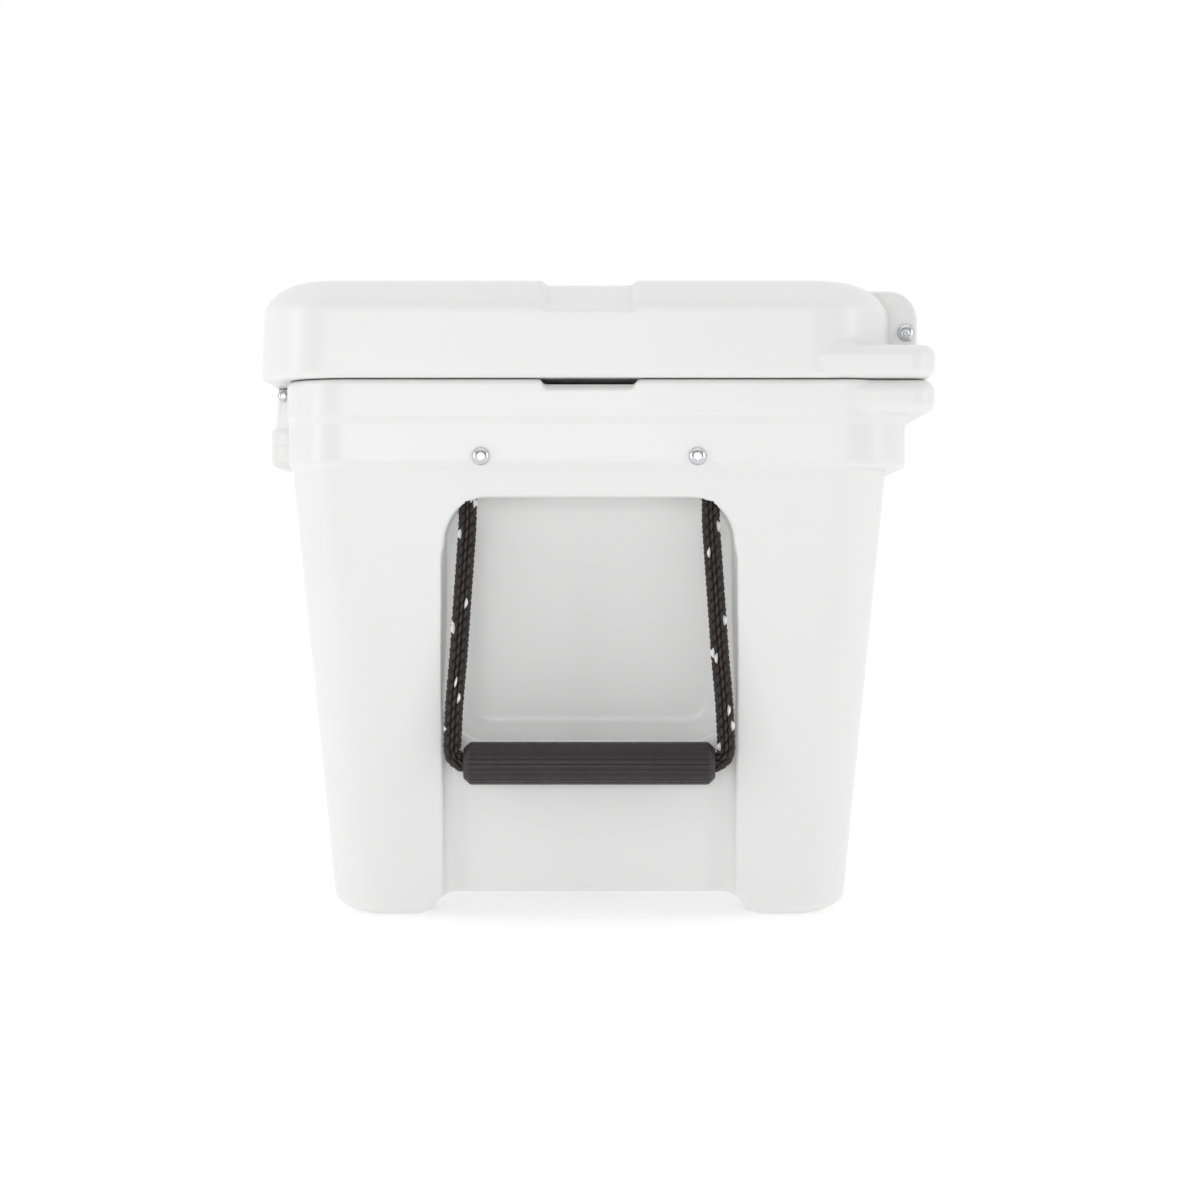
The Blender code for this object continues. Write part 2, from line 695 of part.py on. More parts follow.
def make_body_trim():
    for side in (-1, 1):
        end = "right" if side > 0 else "left"
        outward = (side, 0, 0)
        plug = [(0, -0.0012), (0.015, -0.0012), (0.015, -GAP), (BODY_PORT_RADIUS - GAP, -GAP)]
        plug += [(BODY_PORT_RADIUS - GAP, SKIN - GAP), (0, SKIN - GAP)]
        make_object(
            f"body_fill_plug_{end}",
            turned(plug, (side * BODY_PORT_X, BODY_MID_Y, BELLY), (0, 0, 1)),
            WHITE,
        )
        for hand in (-1, 1):
            tag = f"{end}_{'rear' if hand > 0 else 'front'}"
            rings = [(0.0, -0.002), (0.001, 0.0), (FOOT_THICK, 0.0)]
            make_object(f"foot_{tag}", loft([foot_ring(side, hand, z, m) for z, m in rings]), RUBBER_GREY)
            face = (side * BAND_HALF_X, BODY_MID_Y + hand * HANDLE_SCREW_Y, HANDLE_SCREW_Z)
            screw(f"handle_screw_{tag}", face, outward, 0.0055, 0.0021, 0.0205)
        for inner in (-1, 1):
            tag = f"{end}_{'outer' if inner * side > 0 else 'inner'}"
            face = (side * LATCH_X + inner * LATCH_BOSS_HALF, LATCH_Y, LATCH_Z)
            screw(f"latch_screw_{tag}", face, (inner, 0, 0), 0.0043, 0.0014, 0.0080)
            face = (side * HINGE_X + inner * HINGE_HALF_WIDTH, HINGE_Y, HINGE_Z)
            screw(f"hinge_screw_{tag}", face, (inner, 0, 0), 0.0055, 0.0014, 0.0080)
        make_rod(f"latch_rod_{end}", (side * LATCH_X, LATCH_Y, LATCH_Z), LATCH_ROD_RADIUS, LATCH_BOSS_HALF)
        make_rod(f"hinge_rod_{end}", (side * HINGE_X, HINGE_Y, HINGE_Z), HINGE_ROD_RADIUS, HINGE_HALF_WIDTH)


def make_rod(name, centre, radius, half_width):
    """A steel rod with a tapped hole in each end for its screw."""
    half = half_width - GAP
    tapped = 0.0017
    deep = 0.0095
    profile = [(0, -half + deep), (tapped, -half + deep), (tapped, -half), (radius, -half)]
    profile += [(radius, half), (tapped, half), (tapped, half - deep), (0, half - deep)]
    return make_object(name, turned(profile, centre, (1, 0, 0), 12), STEEL)


# ---- lid ----------------------------------------------------------------------------------
def lid_profile(steps):
    """(height, inset) pairs up the side of the lid, from its lower edge to its flat top."""
    pairs = []
    for angle in quarter(3):
        rise = LID_LOW_EDGE * (1 - math.cos(angle))
        pairs.append((LID_BASE + rise, LID_LOW_EDGE * (1 - math.sin(angle))))
    shoulder = HEIGHT - LID_TOP_HIGH
    lean = LID_DRAFT * (shoulder - LID_BASE)
    for angle in quarter(steps):
        z = shoulder + LID_TOP_HIGH * math.sin(angle)
        pairs.append((z, lean + (LID_TOP_WIDE - lean) * (1 - math.cos(angle))))
    return pairs


def lid_envelope(inset):
    rings = []
    for z, shrink in lid_profile(6):
        total = shrink + inset
        low, high = LID_BASE + inset, HEIGHT - inset
        rings.append(plan_ring(
            low + (z - LID_BASE) * (high - low) / (HEIGHT - LID_BASE),
            LENGTH / 2 - total, -DEPTH / 2 + total, LID_REAR - total,
            max(LID_CORNER_FRONT - total, 0.01), max(LID_CORNER_REAR - total, 0.01),
        ))
    return loft(rings)


def shelf():
    """The ledge behind the dome, level with the body's rear flange."""
    rings = []
    for angle in quarter(3):
        rings.append((LID_BASE + SHELF_EDGE * (1 - math.cos(angle)), SHELF_EDGE * (1 - math.sin(angle))))
    for angle in quarter(3):
        rings.append((SHELF_TOP - SHELF_EDGE * (1 - math.sin(angle)), SHELF_EDGE * (1 - math.cos(angle))))
    half_x = LENGTH / 2 - 0.0007
    return loft([
        plan_ring(z, half_x - s, 0.110, FLANGE_REAR - s, 0.002, SHELF_CORNER - 0.9 * s) for z, s in rings
    ])


def tower(side, inner):
    outline = [(0.140, 0.338), (TOWER_REAR, 0.338)]
    for angle in quarter(5):
        outline.append((
            TOWER_REAR - TOWER_ROUND * (1 - math.cos(angle)),
            TOWER_TOP - TOWER_ROUND * (1 - math.sin(angle)),
        ))
    outline.append((0.140, TOWER_TOP))
    outer = HINGE_HALF_WIDTH
    ends = sorted((side * HINGE_X + inner * outer, side * HINGE_X + inner * (outer - TOWER_WIDTH)))
    return prism(outline, *ends)


def lid_plug(grow):
    """The raised part under the lid that drops into the mouth of the tub."""
    rings = []
    for z, shrink in ((PLUG_BASE - grow, 0.004), (PLUG_BASE - grow + 0.004, 0.0), (LID_BASE + 0.010, 0.0)):
        inset = PLUG_CLEARANCE + shrink - grow + 0.0005
        rings.append(plan_ring(
            z, TUB_HALF_X - inset, BODY_MID_Y - TUB_HALF_Y + inset, BODY_MID_Y + TUB_HALF_Y - inset,
            TUB_CORNER - inset + 0.004,
        ))
    return loft(rings)


def gasket_ring(low, high, margin):
    """A flat ring just outside the tub mouth."""
    inner = GASKET_INNER - margin
    outer = GASKET_INNER + GASKET_WIDTH + margin
    bm = bmesh.new()
    loops = []
    for z, grow in ((low, outer), (high, outer), (high, inner), (low, inner)):
        ring = plan_ring(
            z, TUB_HALF_X + grow, BODY_MID_Y - TUB_HALF_Y - grow, BODY_MID_Y + TUB_HALF_Y + grow,
            TUB_CORNER + grow, steps=5,
        )
        loops.append([bm.verts.new(point) for point in ring])
    count = len(loops[0])
    for low_row, high_row in zip(loops, loops[1:] + loops[:1]):
        for i in range(count):
            j = (i + 1) % count
            bm.faces.new((low_row[i], low_row[j], high_row[j], high_row[i]))
    return bm


def strap_groove(side):
    """A shallow channel over the end of the lid where a tie-down strap lies."""
    start = LENGTH / 2 - GROOVE_REACH
    path = [(start, HEIGHT, 0.0), (start + 0.02, HEIGHT, GROOVE_DEPTH)]
    for z, shrink in reversed(lid_profile(5)[4:]):
        path.append((LENGTH / 2 - shrink, z, GROOVE_DEPTH))
    path[-1] = (path[-1][0], GROOVE_END_Z, 0.0)
    rings = []
    for i, (x, z, depth) in enumerate(path):
        before, after = path[max(i - 1, 0)], path[min(i + 1, len(path) - 1)]
        along = Vector((after[0] - before[0], 0, after[1] - before[1])).normalized()
        out = Vector((-along.z, 0, along.x))
        floor = Vector((x, 0, z)) - depth * out
        above = Vector((x, 0, z)) + 0.006 * out
        narrow, wide = GROOVE_HALF_Y - 0.002, GROOVE_HALF_Y + 0.004
        corners = [(floor, -narrow), (floor, narrow), (above, wide), (above, -wide)]
        rings.append([Vector((side * p.x, BODY_MID_Y + half, p.z)) for p, half in corners])
    return loft(rings)


def keeper_recess(side, grow):
    """The recess in the lid front: a narrow slot for the strap, wide above the keeper ledges."""
    middle = side * LATCH_X
    narrow = LATCH_STRAP_HALF + 0.002 + grow
    wide = LATCH_HEAD_HALF + 0.003 + grow
    slot = block((middle - narrow, -0.215, 0.320), (middle + narrow, -0.1900 + grow, 0.360))
    head = block((middle - wide, -0.215, KEEPER_Z - grow), (middle + wide, -0.1925 + grow, 0.3745 + grow))
    return slot, head


def make_lid():
    shell = make_object("lid_shell", lid_envelope(0.0), WHITE)
    join(shell, make_object("add_shelf", shelf()))
    join(shell, make_object("add_plug", lid_plug(0.0)))
    space = make_object("cut_lid_foam", lid_envelope(SKIN))
    foam = make_object("lid_foam", lid_envelope(SKIN + GAP), FOAM)
    for target, grow in ((space, SKIN), (foam, SKIN + GAP)):
        join(target, make_object(f"add_{target.name}_plug", lid_plug(-grow)))
        ring = gasket_ring(LID_BASE - 0.02, LID_BASE + GASKET_DEEP + grow, grow)
        cut(target, make_object(f"cut_{target.name}_gasket", ring))
    for side in (-1, 1):
        end = "right" if side > 0 else "left"
        for target, grow in ((space, SKIN), (foam, SKIN + GAP)):
            slot, head = keeper_recess(side, grow)
            cut(
                target,
                make_object(f"cut_{target.name}_slot_{end}", slot),
                make_object(f"cut_{target.name}_head_{end}", head),
            )
        for inner in (-1, 1):
            join(shell, make_object(f"add_tower_{end}_{inner + 1}", tower(side, inner)))
    cut(shell, space, make_object("cut_gasket", gasket_ring(LID_BASE - 0.006, LID_BASE + GASKET_DEEP, 0.0)))
    for side in (-1, 1):
        end = "right" if side > 0 else "left"
        slot, head = keeper_recess(side, 0.0)
        clear = HINGE_HALF_WIDTH - TOWER_WIDTH + 0.0005
        notch = block(
            (side * HINGE_X - clear, HINGE_Y - KNUCKLE_RADIUS - 0.0025, 0.320),
            (side * HINGE_X + clear, 0.215, 0.360),
        )
        cut(
            shell,
            make_object(f"cut_keeper_slot_{end}", slot),
            make_object(f"cut_keeper_head_{end}", head),
            make_object(f"cut_knuckle_{end}", notch),
            make_object(f"cut_groove_{end}", strap_groove(side)),
            make_object(f"cut_lid_hinge_{end}", along_x(
                HINGE_ROD_RADIUS + GAP, (side * HINGE_X, HINGE_Y, HINGE_Z), HINGE_HALF_WIDTH + 0.004)),
            make_object(f"cut_lid_port_{end}", bore(
                LID_PORT_RADIUS, (side * LID_PORT_X, BODY_MID_Y, PLUG_BASE - 0.003),
                (side * LID_PORT_X, BODY_MID_Y, PLUG_BASE + SKIN + 0.003))),
        )
    lower = BODY_TOP + GAP
    seal = make_object("lid_gasket", gasket_ring(lower, LID_BASE + GASKET_DEEP - GAP, -GAP), SEAL)
    pieces = [shell, foam, seal]
    for side in (-1, 1):
        end = "right" if side > 0 else "left"
        profile = [(0, -0.0012), (0.012, -0.0012), (0.012, -GAP), (LID_PORT_RADIUS - GAP, -GAP)]
        profile += [(LID_PORT_RADIUS - GAP, SKIN - GAP), (0, SKIN - GAP)]
        centre = (side * LID_PORT_X, BODY_MID_Y, PLUG_BASE)
        pieces.append(make_object(f"lid_fill_plug_{end}", turned(profile, centre, (0, 0, 1)), WHITE))
    return pieces


# ---- latches ------------------------------------------------------------------------------
def make_latch(side):
    """A rubber T latch: barrel on the pin, strap up the lid front, wide head over the keeper."""
    end = "right" if side > 0 else "left"
    middle = side * LATCH_X
    half = LATCH_STRAP_HALF
    strap_outline = [
        (-0.2035, LATCH_Z), (-0.2035, LATCH_HEAD_BASE + 0.004), (-0.1955, LATCH_HEAD_BASE + 0.004),
        (-0.1955, LATCH_Z),
    ]
    head_outline = [
        (-0.2033, LATCH_HEAD_BASE), (-0.2044, LATCH_HEAD_BASE + 0.002), (-0.2040, 0.3620),
        (-0.2025, 0.3690),
        (-0.2005, LATCH_HEAD_TOP), (-0.1970, LATCH_HEAD_TOP), (-0.1950, 0.3690), (-0.1945, 0.3550),
        (-0.1955, LATCH_HEAD_BASE),
    ]
    edge = 0.002
    wide = LATCH_HEAD_HALF
    centre = Vector((0, -0.1995, 0.361))
    rings = []
    for x, scale in ((-wide, 0.82), (-wide + edge, 1.0), (wide - edge, 1.0), (wide, 0.82)):
        ring = [centre + scale * (Vector((0, y, z)) - centre) for y, z in head_outline]
        rings.append([p + Vector((middle + x, 0, 0)) for p in ring])
    latch = make_object(
        f"latch_{end}", along_x(LATCH_BARREL_RADIUS, (middle, LATCH_Y, LATCH_Z), half), RUBBER_DARK)
    strap_half = half - 0.0005
    strap = make_object(f"add_strap_{end}", prism(strap_outline, middle - strap_half, middle + strap_half))
    head = make_object(f"add_head_{end}", loft(rings))
    join(latch, strap, head)
    pin = along_x(LATCH_ROD_RADIUS + GAP, (middle, LATCH_Y, LATCH_Z), half + 0.004, 12)
    cut(latch, make_object(f"cut_latch_bore_{end}", pin))
    hang_on(pivot(f"latch_pivot_{end}", (middle, LATCH_Y, LATCH_Z)), latch)


# ---- handles ------------------------------------------------------------------------------
def rope_route(side):
    """The whole rope: out of one tunnel, down, through the grip and up into the other tunnel."""
    x = side * ROPE_X
    hanging = list(ROPE_HANGING_LINE)
    bend_y, bend_z = GRIP_LENGTH / 2 - 0.0018, GRIP_Z + ROPE_BEND
    for angle in quarter(4):
        hanging.append((bend_y + ROPE_BEND * math.cos(angle), bend_z - ROPE_BEND * math.sin(angle)))
    hanging += [(y, GRIP_Z) for y in ROPE_GRIP_LINE]
    ends = [(abs(p.y - BODY_MID_Y), p.z) for p in reversed(rope_end_route(side, 1))]
    half = ends + hanging
    route = [Vector((x, BODY_MID_Y - y, z)) for y, z in half]
    return route + [Vector((x, BODY_MID_Y + y, z)) for y, z in reversed(half)]


def make_handle(side):
    end = "right" if side > 0 else "left"
    rope = make_object(f"handle_rope_{end}", tube(smooth_route(rope_route(side), 0.011), ROPE_RADIUS), ROPE)
    for hand in (-1, 1):
        y = BODY_MID_Y + hand * HANDLE_SCREW_Y
        hole = bore(0.0024, (side * 0.325, y, HANDLE_SCREW_Z), (side * 0.295, y, HANDLE_SCREW_Z), 12)
        cut(rope, make_object(f"cut_rope_{end}_{hand + 1}", hole))
    half = GRIP_LENGTH / 2
    profile = [
        (GRIP_BORE, -half + 3 * GRIP_FLARE), (GRIP_BORE + GRIP_FLARE, -half),
        (GRIP_RADIUS - GRIP_CHAMFER, -half), (GRIP_RADIUS, -half + GRIP_CHAMFER),
        (GRIP_RADIUS, half - GRIP_CHAMFER), (GRIP_RADIUS - GRIP_CHAMFER, half),
        (GRIP_BORE + GRIP_FLARE, half), (GRIP_BORE, half - 3 * GRIP_FLARE),
    ]
    centre = (side * ROPE_X, BODY_MID_Y, GRIP_Z)
    grip = make_object(f"handle_grip_{end}", turned(profile, centre, (0, 1, 0), 20), RUBBER_DARK)
    hang_on(pivot(f"handle_pivot_{end}", (side * ROPE_X, BODY_MID_Y, HANDLE_PIVOT_Z)), rope, grip)


# ---- drain --------------------------------------------------------------------------------
def make_drain():
    """Bulkhead fitting through the left end wall, with its nut, screw plug and seal."""
    seat = -DRAIN_SEAT_X - GAP
    inside = -(TUB_HALF_X - TUB_DRAFT * (BODY_TOP - DRAIN_Z)) - 0.004
    centre = (seat, BODY_MID_Y, DRAIN_Z)
    long = inside - seat + 0.0115
    lead = (-1, 0, 0)
    flange_thick = 0.003
    profile = [
        (DRAIN_BORE, flange_thick), (DRAIN_FLANGE - 0.001, flange_thick),
        (DRAIN_FLANGE, flange_thick - 0.001),
        (DRAIN_FLANGE, 0), (DRAIN_TUBE, 0), (DRAIN_TUBE, -long), (DRAIN_BORE, -long),
    ]
    make_object("drain_fitting", turned(profile, centre, lead, 20), WHITE)
    nut_thick = 0.007
    nut_seat = (inside + GAP, BODY_MID_Y, DRAIN_Z)
    ring = [(DRAIN_TUBE + GAP, 0), (0.0175, 0), (0.0175, nut_thick), (DRAIN_TUBE + GAP, nut_thick)]
    make_object("drain_nut", turned(ring, nut_seat, (1, 0, 0), 18), WHITE)
    face = (seat - flange_thick - GAP, BODY_MID_Y, DRAIN_Z)
    seal_thick = 0.0022
    washer = [(0.0086, 0), (0.0130, 0), (0.0130, seal_thick), (0.0086, seal_thick)]
    seal = make_object("drain_seal", turned(washer, face, lead, 18), RUBBER_GREY)
    shank, knob, knob_thick = 0.0082, 0.0165, 0.011
    start = seal_thick + GAP
    profile = [
        (0, -0.020), (shank, -0.020), (shank, start), (knob, start), (knob, start + knob_thick - 0.002),
        (knob - 0.002, start + knob_thick), (0, start + knob_thick),
    ]
    plug = make_object("drain_plug", turned(profile, face, lead, 18), RUBBER_GREY)
    hang_on(pivot("drain_pivot", face), seal, plug)


def main():
    clear_scene()
    make_body()
    make_body_trim()
    lid_pieces = make_lid()
    for end in ("left", "right"):
        lid_pieces.append(bpy.data.objects[f"hinge_rod_{end}"])
        lid_pieces += [bpy.data.objects[f"hinge_screw_{end}_{place}"] for place in ("inner", "outer")]
    hang_on(pivot("lid_pivot", (0.0, HINGE_Y, HINGE_Z)), *lid_pieces)
    for side in (-1, 1):
        make_latch(side)
        make_handle(side)
    make_drain()


main()
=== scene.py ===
import itertools
import math

import bpy
import numpy as np
from mathutils import Matrix, Vector


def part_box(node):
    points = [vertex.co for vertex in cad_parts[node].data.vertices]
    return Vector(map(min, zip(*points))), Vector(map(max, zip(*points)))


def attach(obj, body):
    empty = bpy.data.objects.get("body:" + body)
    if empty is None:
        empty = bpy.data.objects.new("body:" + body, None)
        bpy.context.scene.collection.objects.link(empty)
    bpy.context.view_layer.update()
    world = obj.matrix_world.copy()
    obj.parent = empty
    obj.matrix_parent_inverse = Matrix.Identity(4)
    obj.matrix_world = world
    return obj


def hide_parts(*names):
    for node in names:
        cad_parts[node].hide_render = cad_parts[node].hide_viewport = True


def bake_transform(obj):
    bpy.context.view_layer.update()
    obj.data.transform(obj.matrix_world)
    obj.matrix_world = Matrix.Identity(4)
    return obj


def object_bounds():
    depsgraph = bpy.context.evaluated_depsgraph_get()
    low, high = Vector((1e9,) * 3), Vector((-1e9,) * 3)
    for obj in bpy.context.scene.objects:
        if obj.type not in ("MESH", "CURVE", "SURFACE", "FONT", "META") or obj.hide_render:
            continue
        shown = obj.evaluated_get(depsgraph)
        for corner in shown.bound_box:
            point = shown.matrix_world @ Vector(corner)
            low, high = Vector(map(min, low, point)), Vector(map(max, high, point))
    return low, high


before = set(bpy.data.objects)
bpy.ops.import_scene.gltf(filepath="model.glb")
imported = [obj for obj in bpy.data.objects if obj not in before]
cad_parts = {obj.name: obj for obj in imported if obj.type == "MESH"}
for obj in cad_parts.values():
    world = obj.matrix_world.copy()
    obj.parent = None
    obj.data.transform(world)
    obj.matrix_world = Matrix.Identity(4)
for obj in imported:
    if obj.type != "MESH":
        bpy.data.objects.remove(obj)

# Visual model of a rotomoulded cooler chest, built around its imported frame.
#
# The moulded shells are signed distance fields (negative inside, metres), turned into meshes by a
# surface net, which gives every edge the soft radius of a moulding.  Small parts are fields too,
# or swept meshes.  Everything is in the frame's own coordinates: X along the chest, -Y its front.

CAD_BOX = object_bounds()
SIDES = {"left": -1, "right": 1}

# ---- overall dimensions -----------------------------------------------------------------------
HALF_LENGTH = CAD_BOX[1].x
FRONT = CAD_BOX[0].y
REAR = CAD_BOX[1].y
TOP = CAD_BOX[1].z
SKIN = 0.005
MID_Y = -0.0042                     # centre line of the walls, the tub and the handles

# ---- body: wall, band, rim and rear flange ----------------------------------------------------
BODY_TOP = 0.3261
BAND_BASE = 0.270
BAND_TOP = 0.302
BAND_EDGE = 0.2725                  # lower edge of the band that runs round the top of the wall
WALL_HALF_X = 0.319
WALL_HALF_Y = 0.1812
WALL_DRAFT = 0.1025
SIDE_DRAFT_SHARE = 0.88             # the long walls lean a little less than the end walls
WALL_CORNER = 0.037
WALL_TOP = 0.279                    # the wall ends inside the band
RIM_HALF = (0.322, 0.1889)
RIM_Y = 0.0004
RIM_CORNER = 0.040
RIM_STEP = 0.0010                   # how far the rim stands out past the band
FOOT_BASE = 0.0006
FOOT_END_ROUND = 0.010
FOOT_SIDE_ROUND = 0.030
FOOT_SIDE_FLATTENING = 2.2          # the long lower edges are rounded wider than they are high
BELLY = 0.0145                      # height of the underside between the feet
FOOT_INNER_Y = 0.0888
FOOT_INNER_X = 0.200
FLANGE_BASE = 0.3056

# ---- body: openings ---------------------------------------------------------------------------
TUB_HALF = (0.2335, 0.1225)
TUB_CORNER = 0.030
TUB_FLOOR = 0.058
TUB_DRAFT = 0.035
POCKET_Z = (0.107, 0.255)
POCKET_HALF_Y = 0.0875
POCKET_DEPTH = 0.038
POCKET_CORNER = 0.0265
CHANNEL_HALF_Y = 0.0888
CHANNEL_DEPTH = 0.008
NOTCH_HALF_Y = 0.0268
NOTCH_FLOOR = 0.3205
NOTCH_BACK_X = 0.278
STRAP_SLOT_X = 0.297
ROPE_X = 0.309
ROPE_TUNNEL = ((0.0737, 0.240), (0.0733, 0.260), (0.0645, 0.289))
ROPE_TUNNEL_RADIUS = 0.0063
DRAIN_Z = 0.062
DRAIN_SEAT_X = 0.2874
PAD_CENTRE = (0.233, 0.1085)        # recess of a foot pad
PAD_HALF = (0.0233, 0.0123)
PAD_TRIM = 0.0022                   # taken off the pad's inner edge

# ---- latches and hinges -----------------------------------------------------------------------
LATCH_X = 0.190
LATCH_PAD_HALF = 0.035
LATCH_PAD_Z = (0.2765, 0.3015)
LATCH_STRAP_Y = (-0.2019, -0.1955)
LATCH_HEAD_BACK = -0.1947
LATCH_HEAD_Z = (0.3515, 0.371)
HINGE = (0.229, 0.192, 0.3585)

# ---- lid --------------------------------------------------------------------------------------
LID_BASE = 0.3267
LID_REAR = 0.180
LID_DRAFT = 0.035
SHELF_TOP = 0.347
PLUG_BASE = 0.3175
PLUG_INSET = 0.0045
STRAP_HALF_Y = 0.0272
STRAP_DEPTH = 0.006

NET_STEP = 0.002
CAVITY_STEP = 0.007


# ---- signed distance tools --------------------------------------------------------------------
def both(a, b, radius=0.0):
    """Intersection, with its outside edge rounded."""
    corner = np.hypot(np.maximum(a + radius, 0), np.maximum(b + radius, 0))
    return np.minimum(np.maximum(a, b), -radius) + corner


def either(a, b, radius):
    """Union, with its inside corner filleted."""
    corner = np.hypot(np.maximum(radius - a, 0), np.maximum(radius - b, 0))
    return np.maximum(np.minimum(a, b), radius) - corner


def without(a, b, radius=0.0):
    return both(a, -b, radius)


def rounded_rect(u, v, half_u, half_v, radius):
    a = np.abs(u) - half_u + radius
    b = np.abs(v) - half_v + radius
    return np.hypot(np.maximum(a, 0), np.maximum(b, 0)) + np.minimum(np.maximum(a, b), 0) - radius


def span(value, low, high):
    """A slab between two planes."""
    return np.abs(value - (low + high) / 2) - (high - low) / 2


def slab(outline, z, low, high, low_radius, high_radius):
    return both(both(outline, low - z, low_radius), z - high, high_radius)


def capsule(x, y, z, start, end, radius):
    start, end = np.array(start), np.array(end)
    axis = end - start
    reached = (x - start[0]) * axis[0] + (y - start[1]) * axis[1] + (z - start[2]) * axis[2]
    along = np.clip(reached / (axis @ axis), 0, 1)
    near = [value - s - along * a for value, s, a in zip((x, y, z), start, axis)]
    return np.sqrt(near[0] ** 2 + near[1] ** 2 + near[2] ** 2) - radius


def ease(value, low, high):
    """0 below low, 1 above high, smooth between."""
    t = np.clip((value - low) / (high - low), 0, 1)
    return t * t * (3 - 2 * t)


def gradient(field, points, reach=0.0002):
    slopes = []
    for axis in range(3):
        ahead, behind = points.copy(), points.copy()
        ahead[:, axis] += reach
        behind[:, axis] -= reach
        slopes.append((field(*ahead.T) - field(*behind.T)) / (2 * reach))
    return np.stack(slopes, axis=1)


def surface_net(field, low, high, step):
    """Points, quads and normals of the field's zero surface inside a box."""
    axes = [np.arange(a - 2.5 * step, b + 3.5 * step, step) for a, b in zip(low, high)]
    shape = tuple(len(axis) for axis in axes)
    inside = np.empty(shape, bool)
    for start in range(0, shape[0], 16):
        x = axes[0][start:start + 16, None, None]
        inside[start:start + 16] = field(x, axes[1][None, :, None], axes[2][None, None, :]) < 0
    filled = np.zeros([n - 1 for n in shape], np.uint8)
    for i, j, k in itertools.product((0, 1), repeat=3):
        filled += inside[i:shape[0] - 1 + i, j:shape[1] - 1 + j, k:shape[2] - 1 + k]
    crossed = (filled > 0) & (filled < 8)
    number = np.full(crossed.shape, -1, np.int32)
    number[crossed] = np.arange(crossed.sum())
    origin = np.array([axis[0] for axis in axes])
    centres = origin + (np.argwhere(crossed) + 0.5) * step
    points = centres.copy()
    for _ in range(4):
        slope = gradient(field, points)
        steep = np.maximum((slope**2).sum(axis=1), 1e-3)
        points -= (field(*points.T) / steep)[:, None] * slope
        points = np.clip(points, centres - 0.8 * step, centres + 0.8 * step)
    quads = []
    for axis in range(3):
        others = [other for other in range(3) if other != axis]
        ahead = np.take(inside, range(1, shape[axis]), axis=axis)
        here = np.take(inside, range(shape[axis] - 1), axis=axis)
        for leaving in (True, False):
            edge = np.argwhere((here != ahead) & (here == leaving))
            corners = []
            for du, dv in ((1, 1), (0, 1), (0, 0), (1, 0)):
                cell = edge.copy()
                cell[:, others[0]] -= du
                cell[:, others[1]] -= dv
                corners.append(number[tuple(cell.T)])
            quad = np.stack(corners, axis=1)
            flip = leaving == (axis == 1)
            quads.append(quad[:, ::-1] if flip else quad)
    slope = gradient(field, points)
    normals = slope / np.maximum(np.linalg.norm(slope, axis=1, keepdims=True), 1e-9)
    return points, np.concatenate(quads), normals


# ---- mesh and object helpers ------------------------------------------------------------------
def new_object(name, points, faces, normals=None):
    mesh = bpy.data.meshes.new(name)
    points = np.asarray(points, np.float32)
    if isinstance(faces, np.ndarray):
        mesh.vertices.add(len(points))
        mesh.vertices.foreach_set("co", points.ravel())
        mesh.loops.add(faces.size)
        mesh.loops.foreach_set("vertex_index", faces.ravel().astype(np.int32))
        mesh.polygons.add(len(faces))
        starts = np.arange(0, faces.size, faces.shape[1], dtype=np.int32)
        mesh.polygons.foreach_set("loop_start", starts)
        mesh.update(calc_edges=True)
        mesh.validate()
    else:
        mesh.from_pydata([tuple(p) for p in points.tolist()], [], faces)
    mesh.shade_smooth()
    if normals is not None:
        mesh.normals_split_custom_set_from_vertices(np.asarray(normals, np.float32))
    obj = bpy.data.objects.new(name, mesh)
    bpy.context.scene.collection.objects.link(obj)
    return obj


def net_object(name, field, low, high, step):
    return new_object(name, *surface_net(field, low, high, step))


def shell_object(name, field, low, high):
    """A moulded shell: its outer face, and the face of the foam-filled space inside it."""
    outer = surface_net(field, low, high, NET_STEP)
    hollow = surface_net(lambda x, y, z: -(field(x, y, z) + SKIN), low, high, CAVITY_STEP)
    points = np.concatenate([outer[0], hollow[0]])
    quads = np.concatenate([outer[1], hollow[1] + len(outer[0])])
    return new_object(name, points, quads, np.concatenate([outer[2], hollow[2]]))


def centre_of(node):
    low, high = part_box(node)
    return (Vector(low) + Vector(high)) / 2


def place(obj, origin, direction=(0, 0, 1), spin=0.0):
    """Moves a mesh built round +Z so that +Z points along direction."""
    turn = Vector((0, 0, 1)).rotation_difference(Vector(direction)).to_matrix().to_4x4()
    obj.data.transform(Matrix.Translation(Vector(origin)) @ turn @ Matrix.Rotation(spin, 4, "Z"))
    obj.data.update()
    return obj


def finish_piece(obj, body, slot, surface, *nodes):
    obj.data.materials.clear()
    for one in surface if isinstance(surface, (list, tuple)) else [surface]:
        obj.data.materials.append(one)
    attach(obj, body)
    if nodes:
        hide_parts(*nodes)
    return obj


